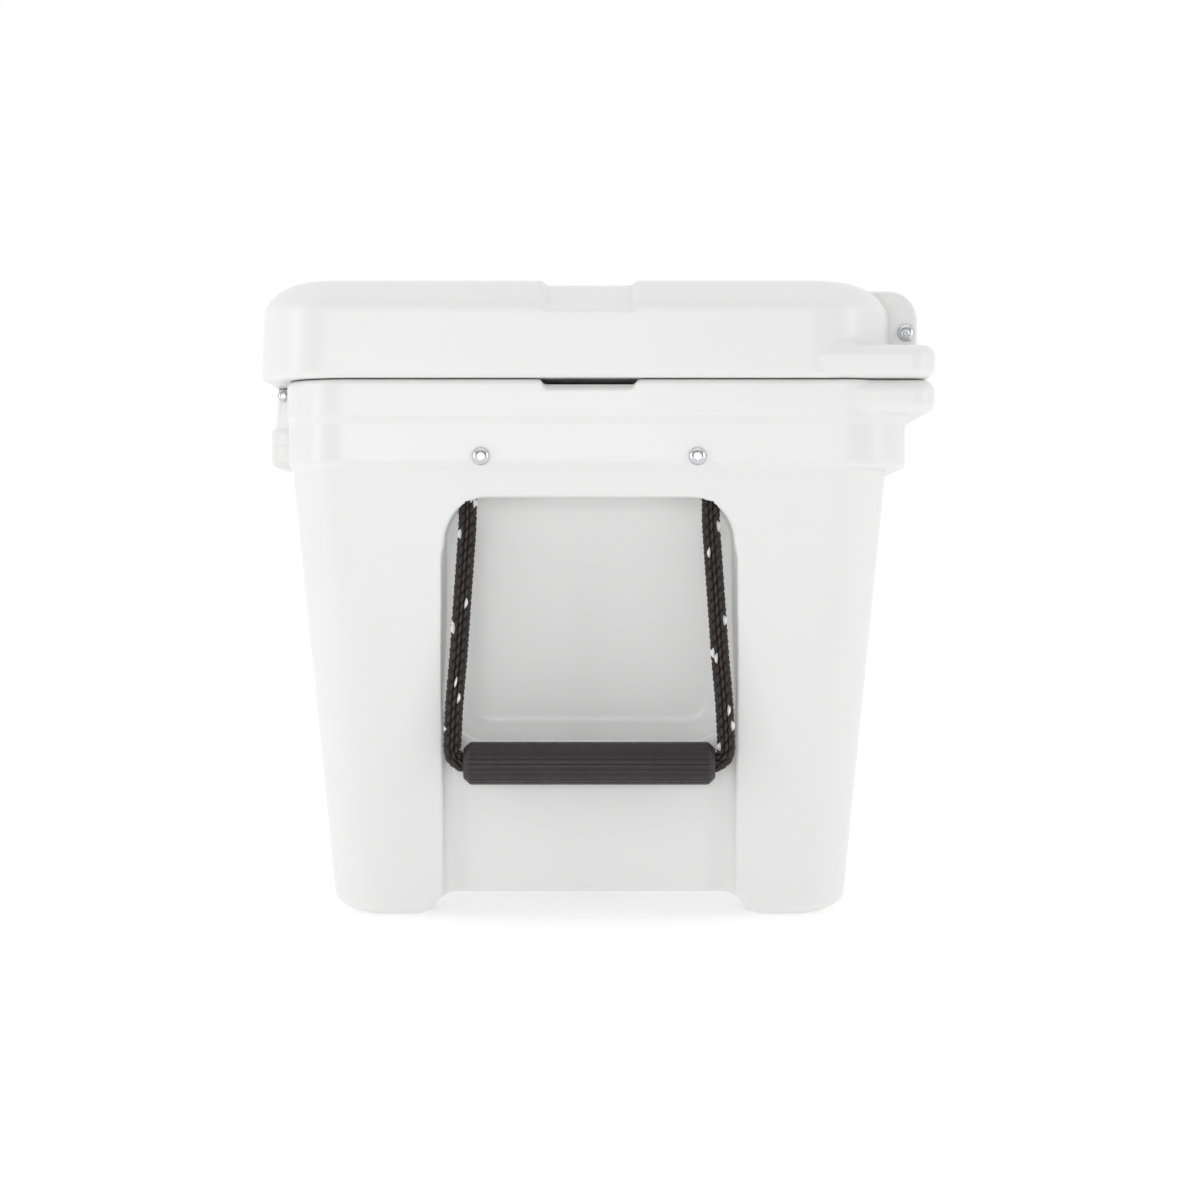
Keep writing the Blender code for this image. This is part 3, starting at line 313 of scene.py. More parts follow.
# ---- materials --------------------------------------------------------------------------------
class Surface:
    """A Principled material with helpers for procedural detail in object coordinates."""

    def __init__(self, name, colour, roughness, metallic=0.0):
        self.material = bpy.data.materials.new(name)
        self.material.use_nodes = True
        self.tree = self.material.node_tree
        self.shader = self.tree.nodes["Principled BSDF"]
        self.place = self.tree.nodes.new("ShaderNodeTexCoord").outputs["Object"]
        self.set("Base Color", (*colour, 1.0))
        self.set("Roughness", roughness)
        self.set("Metallic", metallic)
        self.height = None

    def set(self, socket, value):
        self.shader.inputs[socket].default_value = value

    def link(self, output, target):
        self.tree.links.new(output, target)

    def noise(self, scale, detail=3.0, roughness=0.55, stretch=None, source=None):
        node = self.tree.nodes.new("ShaderNodeTexNoise")
        node.inputs["Scale"].default_value = scale
        node.inputs["Detail"].default_value = detail
        node.inputs["Roughness"].default_value = roughness
        start = source or self.place
        if stretch:
            mapping = self.tree.nodes.new("ShaderNodeMapping")
            mapping.inputs["Scale"].default_value = stretch
            self.link(start, mapping.inputs["Vector"])
            start = mapping.outputs["Vector"]
        self.link(start, node.inputs["Vector"])
        return node.outputs["Fac"]

    def ramp(self, value, low, high, from_low=0.35, from_high=0.65):
        node = self.tree.nodes.new("ShaderNodeMapRange")
        node.inputs["From Min"].default_value = from_low
        node.inputs["From Max"].default_value = from_high
        node.inputs["To Min"].default_value = low
        node.inputs["To Max"].default_value = high
        node.interpolation_type = "SMOOTHSTEP"
        self.link(value, node.inputs["Value"])
        return node.outputs["Result"]

    def vary_roughness(self, value, low, high):
        self.link(self.ramp(value, low, high), self.shader.inputs["Roughness"])

    def vary_colour(self, value, first, second, from_low=0.3, from_high=0.7):
        node = self.tree.nodes.new("ShaderNodeMix")
        node.data_type = "RGBA"
        node.inputs["A"].default_value = (*first, 1.0)
        node.inputs["B"].default_value = (*second, 1.0)
        self.link(self.ramp(value, 0.0, 1.0, from_low, from_high), node.inputs["Factor"])
        self.link(node.outputs["Result"], self.shader.inputs["Base Color"])

    def bump(self, value, strength, distance):
        node = self.tree.nodes.new("ShaderNodeBump")
        node.inputs["Strength"].default_value = strength
        node.inputs["Distance"].default_value = distance
        self.link(value, node.inputs["Height"])
        if self.height:
            self.link(self.height, node.inputs["Normal"])
        self.height = node.outputs["Normal"]
        self.link(self.height, self.shader.inputs["Normal"])


def moulded_plastic(name, first, second, roughness, peel):
    """Rotomoulded polyethylene: faint orange peel, slow waves and uneven gloss."""
    surface = Surface(name, first, roughness)
    surface.set("IOR", 1.51)
    surface.set("Subsurface Weight", 0.06)
    surface.set("Subsurface Radius", (0.004, 0.004, 0.0035))
    surface.set("Subsurface Scale", 1.0)
    surface.vary_colour(surface.noise(7.0, 2.0), first, second, 0.2, 0.8)
    surface.vary_roughness(surface.noise(11.0, 2.0), roughness - 0.025, roughness + 0.025)
    surface.bump(surface.noise(13.0, 1.0), 0.2, 0.0006)
    surface.bump(surface.noise(520.0, 2.0), peel, 0.00012)
    return surface.material


def rubber(name, first, second, roughness):
    surface = Surface(name, first, roughness)
    surface.set("IOR", 1.52)
    surface.set("Specular IOR Level", 0.35)
    surface.vary_colour(surface.noise(60.0, 5.0), first, second)
    surface.vary_roughness(surface.noise(240.0, 4.0), roughness - 0.08, roughness + 0.08)
    surface.bump(surface.noise(1500.0, 3.0), 0.35, 0.00012)
    surface.bump(surface.noise(140.0, 3.0), 0.2, 0.0002)
    return surface.material


def steel(name):
    surface = Surface(name, (0.60, 0.60, 0.61), 0.14, 1.0)
    surface.vary_roughness(surface.noise(700.0, 4.0, 0.6, (1.0, 5.0, 5.0)), 0.08, 0.20)
    surface.bump(surface.noise(2200.0, 2.0, 0.5, (1.0, 4.0, 4.0)), 0.08, 0.00005)
    return surface.material


def yarn(name, first, second, sheen):
    """Twisted filament yarn: fine ridges along each stitch, from the mesh's own coordinates."""
    surface = Surface(name, first, 0.72)
    surface.set("Sheen Weight", sheen)
    surface.set("Sheen Roughness", 0.45)
    surface.set("Specular IOR Level", 0.3)
    along = surface.tree.nodes.new("ShaderNodeUVMap").outputs["UV"]
    fibres = surface.noise(1.0, 2.0, 0.5, (1.6, 16.0, 1.0), along)
    surface.vary_colour(fibres, first, second)
    surface.bump(fibres, 0.8, 0.0003)
    surface.bump(surface.noise(1900.0, 2.0), 0.3, 0.0001)
    return surface.material


def foam():
    surface = Surface("rigid_foam", (0.80, 0.70, 0.45), 0.9)
    surface.vary_colour(surface.noise(120.0, 4.0), (0.72, 0.62, 0.38), (0.84, 0.75, 0.52))
    surface.bump(surface.noise(900.0, 3.0), 0.6, 0.0005)
    return surface.material


WHITE = moulded_plastic("white_polyethylene", (0.795, 0.795, 0.793), (0.783, 0.783, 0.781), 0.30, 0.22)
FITTING = moulded_plastic("white_fitting_plastic", (0.70, 0.703, 0.706), (0.68, 0.682, 0.685), 0.32, 0.15)
DARK_RUBBER = rubber("dark_rubber", (0.0265, 0.0205, 0.0222), (0.0315, 0.0248, 0.0268), 0.46)
GREY_RUBBER = rubber("grey_rubber", (0.20, 0.20, 0.205), (0.24, 0.24, 0.245), 0.66)
SEAL_RUBBER = rubber("seal_rubber", (0.50, 0.50, 0.49), (0.55, 0.55, 0.54), 0.60)
STEEL = steel("stainless_steel")
ROPE_YARN = yarn("rope_yarn_dark", (0.034, 0.027, 0.0235), (0.064, 0.053, 0.047), 0.05)
# The core yarn's near-black colour is painted shade: it stands in for the shadow in the gaps between the
# stitches.
SHADE_PAINTED_CORE_YARN = yarn("rope_core_painted_shade", (0.004, 0.0033, 0.003), (0.007, 0.006, 0.0055), 0.0)
TRACER_YARN = yarn("rope_yarn_tracer", (0.80, 0.80, 0.79), (0.90, 0.90, 0.89), 0.05)
FOAM = foam()


# ---- camera and stage -------------------------------------------------------------------------
def make_camera():
    """The end view: level with the middle of the chest, about two metres from its right end."""
    data = bpy.data.cameras.new("camera")
    camera = bpy.data.objects.new("camera", data)
    bpy.context.scene.collection.objects.link(camera)
    distance, width_seen = 2.0, 0.7205
    data.sensor_width = 36.0
    data.lens = data.sensor_width * distance / width_seen
    camera.location = (HALF_LENGTH + distance, 0.0023, 0.193)
    camera.rotation_euler = (math.radians(90), 0, math.radians(90))
    bpy.context.scene.camera = camera


def make_world():
    """White all round, shading to grey toward +X, so that the faces differ in tone."""
    world = bpy.data.worlds.new("studio")
    world.use_nodes = True
    nodes, links = world.node_tree.nodes, world.node_tree.links
    split = nodes.new("ShaderNodeSeparateXYZ")
    links.new(nodes.new("ShaderNodeTexCoord").outputs["Generated"], split.inputs["Vector"])
    shade = nodes.new("ShaderNodeMapRange")
    shade.interpolation_type = "SMOOTHSTEP"
    shade.inputs["From Min"].default_value = 0.10
    shade.inputs["From Max"].default_value = 0.75
    shade.inputs["To Min"].default_value = 1.0
    shade.inputs["To Max"].default_value = 0.34
    links.new(split.outputs["X"], shade.inputs["Value"])
    background = nodes["Background"]
    background.inputs["Color"].default_value = (1.0, 1.0, 1.0, 1.0)
    links.new(shade.outputs["Result"], background.inputs["Strength"])
    bpy.context.scene.world = world


def make_floor():
    size = 9.0
    corners = [(-size, -size, 0), (size, -size, 0), (size, size, 0), (-size, size, 0)]
    floor = new_object("floor", corners, [(0, 1, 2, 3)])
    paint = Surface("floor_paint", (0.62, 0.62, 0.62), 0.9)
    paint.vary_colour(paint.noise(3.0), (0.62, 0.62, 0.62), (0.61, 0.61, 0.61))
    paint.set("Emission Color", (1.0, 1.0, 1.0, 1.0))
    paint.set("Emission Strength", 0.48)
    floor.data.materials.append(paint.material)


def area_light(name, location, size, power):
    data = bpy.data.lights.new(name, "AREA")
    data.shape = "RECTANGLE"
    data.size, data.size_y = size
    data.energy = power
    light = bpy.data.objects.new(name, data)
    light.location = location
    aim = Vector((0.0, 0.0, 0.2)) - Vector(location)
    light.rotation_euler = aim.to_track_quat("-Z", "Y").to_euler()
    bpy.context.scene.collection.objects.link(light)


def make_stage():
    """A pale sweep under and behind the chest, in soft light from every side."""
    bpy.context.scene.view_settings.view_transform = "Standard"
    make_world()
    make_floor()
    area_light("overhead", (0.3, 0.0, 2.3), (2.2, 2.2), 5.0)
    area_light("end_softbox", (3.2, -0.35, 0.45), (1.4, 0.7), 13.8)
    area_light("key_front_side", (1.2, -2.0, 0.7), (0.4, 1.3), 6.5)
    area_light("fill_rear_side", (1.2, 2.0, 0.7), (0.3, 1.3), 5.0)


# ---- body shell -------------------------------------------------------------------------------
def wall_half_x(z):
    return WALL_HALF_X - WALL_DRAFT * (BAND_BASE - z)


def body_outline(x, y, z):
    """Tapered wall, band, rim and rear flange."""
    middle = y - MID_Y
    lean = WALL_DRAFT * (BAND_BASE - z)
    half_y = WALL_HALF_Y - SIDE_DRAFT_SHARE * lean
    wall = rounded_rect(x, middle, WALL_HALF_X - lean, half_y, WALL_CORNER)
    side = both(np.abs(middle) - half_y, FOOT_SIDE_FLATTENING * (FOOT_BASE - z), FOOT_SIDE_ROUND)
    solid = np.maximum(slab(wall, z, FOOT_BASE, WALL_TOP, FOOT_END_ROUND, 0.0), side)
    step_out = RIM_STEP * ease(z, BAND_TOP - 0.003, BAND_TOP + 0.003)
    plan = rounded_rect(x, y - RIM_Y, RIM_HALF[0], RIM_HALF[1], RIM_CORNER) - step_out
    solid = either(solid, slab(plan, z, BAND_EDGE, BODY_TOP, 0.0045, 0.0032), 0.0018)
    flange_front, flange_half_x = 0.170, RIM_HALF[0] + 0.0008
    flange_plan = rounded_rect(x, y - flange_front, flange_half_x, REAR - flange_front, 0.014)
    flange = slab(flange_plan, z, FLANGE_BASE, BODY_TOP, 0.0075, 0.0075)
    blend = 0.003 * ease(y, 0.150, 0.165) * (1 - ease(z, 0.312, 0.318))
    return either(solid, flange, blend + 1e-5)


def latch_rails(x, y, z):
    """Pad and rails that hold the latch pin, with the latch's slot between them."""
    across = np.abs(x) - LATCH_X
    width = np.abs(across) - LATCH_PAD_HALF
    pad = both(both(width, FRONT - y, 0.003), span(z, *LATCH_PAD_Z), 0.0042)
    rail_foot, rail_front, rail_lean = 0.303, -0.2022, 0.085
    slope = (rail_front + rail_lean * (z - rail_foot)) - y
    rail = both(both(width, slope, 0.0025), span(z, 0.290, BODY_TOP - 0.0002), 0.0014)
    rails = both(either(pad, rail, 0.0015), y + 0.180)
    slot = both(np.abs(across) - 0.0195, both(y + 0.1907, span(z, 0.304, 0.345), 0.002), 0.001)
    return rails, slot


def knuckles(x, y, z):
    """Lugs on the body's rear that reach up round the hinge rods."""
    half_width, radius, root = 0.0165, 0.0085, 0.314
    width = np.abs(np.abs(x) - HINGE[0]) - half_width
    lug = np.hypot(y - HINGE[1], np.maximum(z - HINGE[2], 0)) - radius
    return both(both(width, lug, 0.0015), root - z)


def end_pocket(x, y, z):
    """Deep handle pocket and the shallow channel below it, the same at both ends."""
    middle = y - MID_Y
    depth = wall_half_x(z) - np.abs(x)
    draft = 0.06 * np.maximum(depth, 0)
    low, high = POCKET_Z
    height = z - (low + high) / 2
    opening = rounded_rect(middle, height, POCKET_HALF_Y - draft, (high - low) / 2, POCKET_CORNER)
    pocket = both(opening, depth - POCKET_DEPTH, 0.015)
    channel_z, channel_half_z = 0.05, 0.185
    side = rounded_rect(middle, z - channel_z, CHANNEL_HALF_Y - 0.3 * draft, channel_half_z, 0.02)
    channel = both(side, depth - CHANNEL_DEPTH, 0.006)
    return either(pocket, channel, 0.004)


def strap_passages(x, y, z):
    """Notch in the rim, with flared sides and a rising lip, and the slot down to the pocket."""
    middle = np.abs(y - MID_Y)
    flare = 0.0022 * ease(z, NOTCH_FLOOR + 0.0005, BODY_TOP)
    lip_slope, lip_front, lip_length = 0.7, 0.3225, 0.0037
    lip = NOTCH_FLOOR + lip_slope * np.clip(lip_front - np.abs(x), 0, lip_length)
    notch = both(middle - NOTCH_HALF_Y - flare, lip - z, 0.002)
    notch = both(notch, NOTCH_BACK_X - np.abs(x), 0.001)
    slot = rounded_rect(np.abs(x) - STRAP_SLOT_X, middle, 0.005, 0.027, 0.003)
    return notch, both(slot, span(z, 0.240, 0.330))


def underside(x, y, z):
    """The two hollows that cross under the body and leave four feet."""
    middle = y - MID_Y
    along = both(np.abs(middle) - FOOT_INNER_Y - 0.75 * (BELLY - z), z - BELLY, 0.007)
    across = both(np.abs(x) - FOOT_INNER_X - 0.4 * (BELLY - z), z - BELLY, 0.007)
    return along, across


def tub_space(x, y, z):
    """The cold space, with a sump in front of the drain."""
    middle = y - MID_Y
    narrow = TUB_DRAFT * (BODY_TOP - z)
    tub = rounded_rect(x, middle, TUB_HALF[0] - narrow, TUB_HALF[1] - narrow, TUB_CORNER)
    tub = both(tub, TUB_FLOOR - z, 0.020)
    sump_x, sump_floor, sump_top = 0.213, 0.041, 0.081
    sump = both(rounded_rect(x + sump_x, middle, 0.0153, 0.021, 0.004), sump_floor - z, 0.003)
    return either(tub, both(sump, z - sump_top), 0.003)


def rope_tunnels(x, y, z):
    hand = np.abs(y - MID_Y)
    points = [(ROPE_X, reach, height) for reach, height in ROPE_TUNNEL]
    low = capsule(np.abs(x), hand, z, points[0], points[1], ROPE_TUNNEL_RADIUS)
    high = capsule(np.abs(x), hand, z, points[1], points[2], ROPE_TUNNEL_RADIUS)
    return np.minimum(low, high)


def drain_hole(x, y, z):
    """Bore through the wall, and the flat seat of the fitting outside."""
    reach = np.hypot(y - MID_Y, z - DRAIN_Z)
    bore = both(reach - 0.0128, x + 0.215)
    return np.minimum(bore, both(reach - 0.021, x + DRAIN_SEAT_X))


def body_field(x, y, z):
    solid = body_outline(x, y, z)
    rails, latch_slot = latch_rails(x, y, z)
    solid = np.minimum(solid, rails)
    solid = either(solid, knuckles(x, y, z), 0.002)
    for hollow in underside(x, y, z):
        solid = without(solid, hollow, 0.006)
    solid = without(solid, tub_space(x, y, z), 0.003)
    solid = without(solid, end_pocket(x, y, z), 0.0018)
    notch, slot = strap_passages(x, y, z)
    solid = without(without(solid, notch, 0.0012), slot, 0.0015)
    solid = without(solid, latch_slot, 0.0012)
    solid = without(solid, rope_tunnels(x, y, z), 0.002)
    solid = without(solid, drain_hole(x, y, z), 0.0015)
    across, along = np.abs(x) - PAD_CENTRE[0], np.abs(y - MID_Y) - PAD_CENTRE[1] - PAD_TRIM
    pad = rounded_rect(across, along, PAD_HALF[0], PAD_HALF[1] - PAD_TRIM, 0.008)
    return without(solid, both(pad, z - 0.0039), 0.0006)


# ---- lid shell --------------------------------------------------------------------------------
def dome(x, y, z):
    """Drafted sides with a wide, low rounding into the flat top."""
    wide, high = 0.034, 0.021
    lean = LID_DRAFT * (z - LID_BASE)
    centre = (FRONT + LID_REAR) / 2
    radius = 0.047 + 0.005 * ease(y, 0.0, 0.1)
    plan = rounded_rect(x, y - centre, HALF_LENGTH, (LID_REAR - FRONT) / 2, radius) + lean
    u = np.maximum(plan + wide, 0) / wide
    v = np.maximum(z - (TOP - high), 0) / high
    size = np.hypot(u, v)
    slope = np.maximum(np.hypot(u / wide, v / high), 1e-6)
    rounded = (size - 1) * size / slope
    flat = np.maximum(plan, z - TOP)
    return np.where((u > 0) & (v > 0), rounded, flat)


def towers(x, y, z):
    """Hinge towers, two at each hinge, on the rear of the lid."""
    apart, half_width = 0.025, 0.008
    across = np.abs(np.abs(np.abs(x) - HINGE[0]) - apart) - half_width
    profile = both(y - 0.199, z - 0.3845, 0.018)
    return both(both(both(across, profile, 0.0025), 0.332 - z), 0.12 - y)


def lid_outline(x, y, z):
    """Dome, rear shelf, hinge towers and the plug that drops into the tub."""
    top = both(dome(x, y, z), LID_BASE - z, 0.0036)
    shelf_front, shelf_half_x = 0.1575, HALF_LENGTH - 0.0007
    shelf_plan = rounded_rect(x, y - shelf_front, shelf_half_x, REAR - shelf_front, 0.016)
    shelf = slab(shelf_plan, z, LID_BASE, SHELF_TOP, 0.007, 0.007)
    blend = 0.005 * ease(z, 0.339, 0.344) * ease(y, 0.136, 0.152)
    solid = either(top, shelf, blend + 1e-5)
    solid = either(solid, towers(x, y, z), 0.003)
    plug_half = [half - PLUG_INSET for half in TUB_HALF]
    plug = rounded_rect(x, y - MID_Y, plug_half[0], plug_half[1], 0.029)
    return either(solid, slab(plug, z, PLUG_BASE, LID_BASE + 0.01, 0.004, 0.0), 0.0015)


def lid_field(x, y, z):
    solid = lid_outline(x, y, z)
    mouth = rounded_rect(x, y - MID_Y, TUB_HALF[0], TUB_HALF[1], TUB_CORNER)
    gasket_groove = both(span(mouth, 0.006, 0.016), z - 0.332)
    solid = without(solid, gasket_groove, 0.0005)
    fade = ease(np.abs(x), 0.240, 0.262) * ease(z, 0.362, 0.372)
    strap_floor = dome(x, y, z) - STRAP_DEPTH + 0.009 * fade
    strap = both(np.abs(y - MID_Y) - STRAP_HALF_Y, -strap_floor, 0.0022)
    solid = without(solid, strap, 0.0025)
    across = np.abs(np.abs(x) - LATCH_X)
    slot = both(across - 0.020, both(y + 0.190, z - 0.362, 0.002), 0.002)
    head = both(across - 0.030, both(y + 0.1925, span(z, 0.350, 0.3745), 0.003), 0.002)
    solid = without(solid, np.minimum(slot, head), 0.002)
    gap = both(np.abs(np.abs(x) - HINGE[0]) - 0.0175, both(0.181 - y, z - 0.368), 0.0005)
    return without(solid, gap, 0.0012)


def make_shells():
    body = shell_object("cooler_body", body_field, *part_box("body_shell"))
    finish_piece(body, "chest", "polyethylene_white", WHITE, "body_shell")
    lid = shell_object("cooler_lid", lid_field, *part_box("lid_shell"))
    finish_piece(lid, "lid", "polyethylene_white", WHITE, "lid_shell")


# ---- screws and rods --------------------------------------------------------------------------
SHANK_LENGTH = 0.005
HEAD_HEIGHT = 0.60                  # of the head's radius
HEAD_STANDS_OUT = 0.58              # of the head's radius


def screw_field(radius, height, shank):
    """Domed head with a hexagon socket, on a short shank."""
    dome_rise, socket_half, socket_floor = height * 0.78, 0.40 * radius, 0.35 * height
    curve = (radius**2 + dome_rise**2) / (2 * dome_rise)

    def field(x, y, z):
        reach = np.hypot(x, y)
        ball = np.sqrt(reach**2 + (z - (height - curve)) ** 2) - curve
        head = both(both(ball, reach - radius, 0.0004), -z, 0.0003)
        socket = np.full(np.broadcast(x, y, z).shape, -1.0)
        for i in range(3):
            angle = math.radians(60 * i + 15)
            side = np.abs(x * math.cos(angle) + y * math.sin(angle)) - socket_half
            socket = np.maximum(socket, side)
        head = without(head, both(socket, socket_floor - z, 0.0002), 0.00035)
        return np.minimum(head, both(reach - shank, span(z, -SHANK_LENGTH, 0.001)))

    return field


SCREW_KINDS = {                     # body, shank radius, share of the frame's head radius
    "handle_screw": ("chest", 0.0021, 1.0),
    "latch_screw": ("chest", 0.0014, 0.82),
    "hinge_screw": ("lid", 0.0014, 1.0),
}


def make_screws():
    for node in sorted(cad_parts):
        kind = node.rsplit("_", 2)[0]
        if kind not in SCREW_KINDS:
            continue
        body, shank, share = SCREW_KINDS[kind]
        low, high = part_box(node)
        side = SIDES[node.split("_")[2]]
        if kind != "handle_screw":
            side = side if node.endswith("outer") else -side
        radius = (high[1] - low[1]) / 2 * share
        height, stands_out = HEAD_HEIGHT * radius, HEAD_STANDS_OUT * radius
        face = high[0] - stands_out if side > 0 else low[0] + stands_out
        centre = centre_of(node)
        piece = net_object(
            f"{node}_detailed", screw_field(radius, height, shank),
            (-radius, -radius, -SHANK_LENGTH), (radius, radius, height), radius / 22)
        spin = 0.7 * len(node) + radius * 900
        place(piece, (face, centre.y, centre.z), (side, 0, 0), spin)
        finish_piece(piece, body, "stainless_steel", STEEL, node)


def turned_faces(rows, segments):
    """Quads between the rings of a closed profile, the last ring joined to the first."""
    faces = []
    for row, i in itertools.product(range(rows), range(segments)):
        after, beside = (row + 1) % rows, (i + 1) % segments
        faces.append((
            row * segments + i, row * segments + beside, after * segments + beside, after * segments + i))
    return faces


def lathe(profile, segments):
    """Points and faces of a closed profile of (radius, height) turned round Z."""
    points = []
    for radius, height in profile:
        for i in range(segments):
            angle = 2 * math.pi * i / segments
            points.append((radius * math.cos(angle), radius * math.sin(angle), height))
    return points, turned_faces(len(profile), segments)


def turned_object(name, profile, segments, sharp_degrees=None):
    obj = new_object(name, *lathe(profile, segments))
    if sharp_degrees:
        obj.data.set_sharp_from_angle(angle=math.radians(sharp_degrees))
    return obj


def make_rods():
    for end in SIDES:
        for node, body in ((f"latch_rod_{end}", "chest"), (f"hinge_rod_{end}", "lid")):
            low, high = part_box(node)
            radius, half = (high[2] - low[2]) / 2, (high[0] - low[0]) / 2
            chamfer, bore = 0.0004, 0.0017
            profile = [
                (bore, -half), (radius - chamfer, -half), (radius, -half + chamfer),
                (radius, half - chamfer), (radius - chamfer, half), (bore, half),
            ]
            rod = turned_object(f"{node}_turned", profile, 32, 40)
            place(rod, centre_of(node), (1, 0, 0))
            finish_piece(rod, body, "stainless_steel", STEEL, node)


# ---- latches ----------------------------------------------------------------------------------
def latch_field(middle_x, pin_y, pin_z):
    """Rubber T latch: barrel round the pin, waisted strap, and a ridged head."""
    barrel_radius, pin_hole, barrel_half, head_half = 0.0062, 0.0033, 0.018, 0.027
    strap_front, strap_back = LATCH_STRAP_Y
    head_low, head_high = LATCH_HEAD_Z

    def field(x, y, z):
        across = np.abs(x - middle_x)
        from_pin = np.hypot(y - pin_y, z - pin_z)
        barrel = both(across - barrel_half, from_pin - barrel_radius, 0.0008)
        barrel = both(barrel, strap_front - y, 0.0008)
        waist = 0.0175 - 0.0035 * np.exp(-(((z - 0.338) / 0.008) ** 2))
        thickness = both(span(y, strap_front, strap_back), span(z, pin_z, 0.358), 0.001)
        strap = both(across - waist, thickness, 0.0018)
        front = -0.2044 + 0.0022 * ease(z, 0.360, head_high)
        depth = both(front - y, y - LATCH_HEAD_BACK, 0.0015)
        head = both(across - head_half, both(depth, span(z, head_low, head_high), 0.0022), 0.003)
        solid = either(either(barrel, strap, 0.0012), head, 0.0012)
        for height in (0.3560, 0.3600, 0.3640):
            ridge = np.hypot(y - front, z - height) - 0.0011
            solid = without(solid, both(ridge, across - 0.019), 0.0004)
        return without(solid, from_pin - pin_hole, 0.0003)

    return field


def make_latches():
    for end in SIDES:
        node = f"latch_{end}"
        pin = centre_of(f"latch_rod_{end}")
        piece = net_object(f"{node}_rubber", latch_field(pin.x, pin.y, pin.z), *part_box(node), 0.0008)
        finish_piece(piece, node, "rubber_dark", DARK_RUBBER, node)


# ---- rope handles -----------------------------------------------------------------------------
ROPE_RADIUS = 0.00555
ROPE_BEND = 0.0085
ROPE_LEG = (                        # distance from the middle, and height, from the screw down
    (0.0645, 0.2890), (0.0668, 0.2770), (0.0705, 0.2680), (0.0733, 0.2580), (0.0736, 0.2490),
    (0.0738, 0.2380), (0.0750, 0.2200), (0.0771, 0.1900), (0.0792, 0.1600), (0.0816, 0.1320),
    (0.0827, 0.1120),
)
GRIP_FLARE = 0.0018


def rope_points(side):
    """The rope's route, the same as the frame's: tunnel, hanging leg, grip, leg, tunnel."""
    grip = centre_of("handle_grip_right").z
    low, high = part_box("handle_grip_right")
    half_grip = (high[1] - low[1]) / 2
    leg = list(ROPE_LEG)
    for i in range(5):
        angle = math.radians(22.5 * i)
        reach = half_grip - GRIP_FLARE + ROPE_BEND * math.cos(angle)
        leg.append((reach, grip + ROPE_BEND * (1 - math.sin(angle))))
    leg += [(0.0680, grip), (0.0550, grip), (0.0300, grip)]
    x = side * ROPE_X
    route = [Vector((x, MID_Y - y, z)) for y, z in leg]
    return route + [Vector((x, MID_Y + y, z)) for y, z in reversed(leg)]


def smooth_route(points, spacing):
    """Evenly spaced points on a Catmull-Rom curve through the given ones."""
    knots = [2 * points[0] - points[1], *points, 2 * points[-1] - points[-2]]
    fine = []
    for a, b, c, d in zip(knots, knots[1:], knots[2:], knots[3:]):
        for i in range(24):
            t = i / 24
            curve = (2 * a - 5 * b + 4 * c - d) * t**2 + (3 * b - a - 3 * c + d) * t**3
            fine.append(0.5 * (2 * b + (c - a) * t + curve))
    fine = np.array(fine + [knots[-2]])
    walked = np.concatenate([[0], np.cumsum(np.linalg.norm(np.diff(fine, axis=0), axis=1))])
    wanted = np.linspace(0, walked[-1], round(walked[-1] / spacing) + 1)
    return np.stack([np.interp(wanted, walked, fine[:, axis]) for axis in range(3)], axis=1), walked[-1]


class Route:
    """A line with a frame that doesn't twist, for wrapping stitches round it."""

    def __init__(self, points, length):
        self.points, self.length = points, length
        self.at = np.linspace(0, length, len(points))
        self.along = np.gradient(points, axis=0)
        self.along /= np.linalg.norm(self.along, axis=1, keepdims=True)
        side = np.array([1.0, 0.0, 0.0])
        sides = []
        for direction in self.along:
            side = side - direction * (side @ direction)
            side /= np.linalg.norm(side)
            sides.append(side)
        self.side = np.array(sides)
        self.up = np.cross(self.along, self.side)

    def place(self, distance, angle, radius):
        distance = np.clip(distance, 0, self.length)
        pick = [np.interp(distance, self.at, axis) for axis in self.points.T]
        centre = np.stack(pick, axis=-1)
        side = np.stack([np.interp(distance, self.at, axis) for axis in self.side.T], axis=-1)
        up = np.stack([np.interp(distance, self.at, axis) for axis in self.up.T], axis=-1)
        spoke = side * np.cos(angle)[..., None] + up * np.sin(angle)[..., None]
        return centre + radius[..., None] * spoke


def tube_faces(base, rows, ring):
    """Quads of a tube whose rows of points start at base, with the row and place of each."""
    for i, j in itertools.product(range(rows - 1), range(ring)):
        k = (j + 1) % ring
        yield i, j, (
            base + i * ring + j, base + i * ring + k, base + (i + 1) * ring + k, base + (i + 1) * ring + j)


def cap_faces(base, rows, ring):
    """The two end faces of that tube."""
    first = [base + j for j in range(ring)]
    last = [base + (rows - 1) * ring + j for j in range(ring)]
    return tuple(reversed(first)), tuple(last)


def is_tracer(row, column, columns):
    """Three white yarns surface every sixth row, three columns further round each time."""
    starts = ((0, 1), (3, 5), (5, 9))
    return any(
        (row - first) % 6 == 0 and (column + 3 * ((row - first) // 6) - at) % columns == 0
        for first, at in starts)


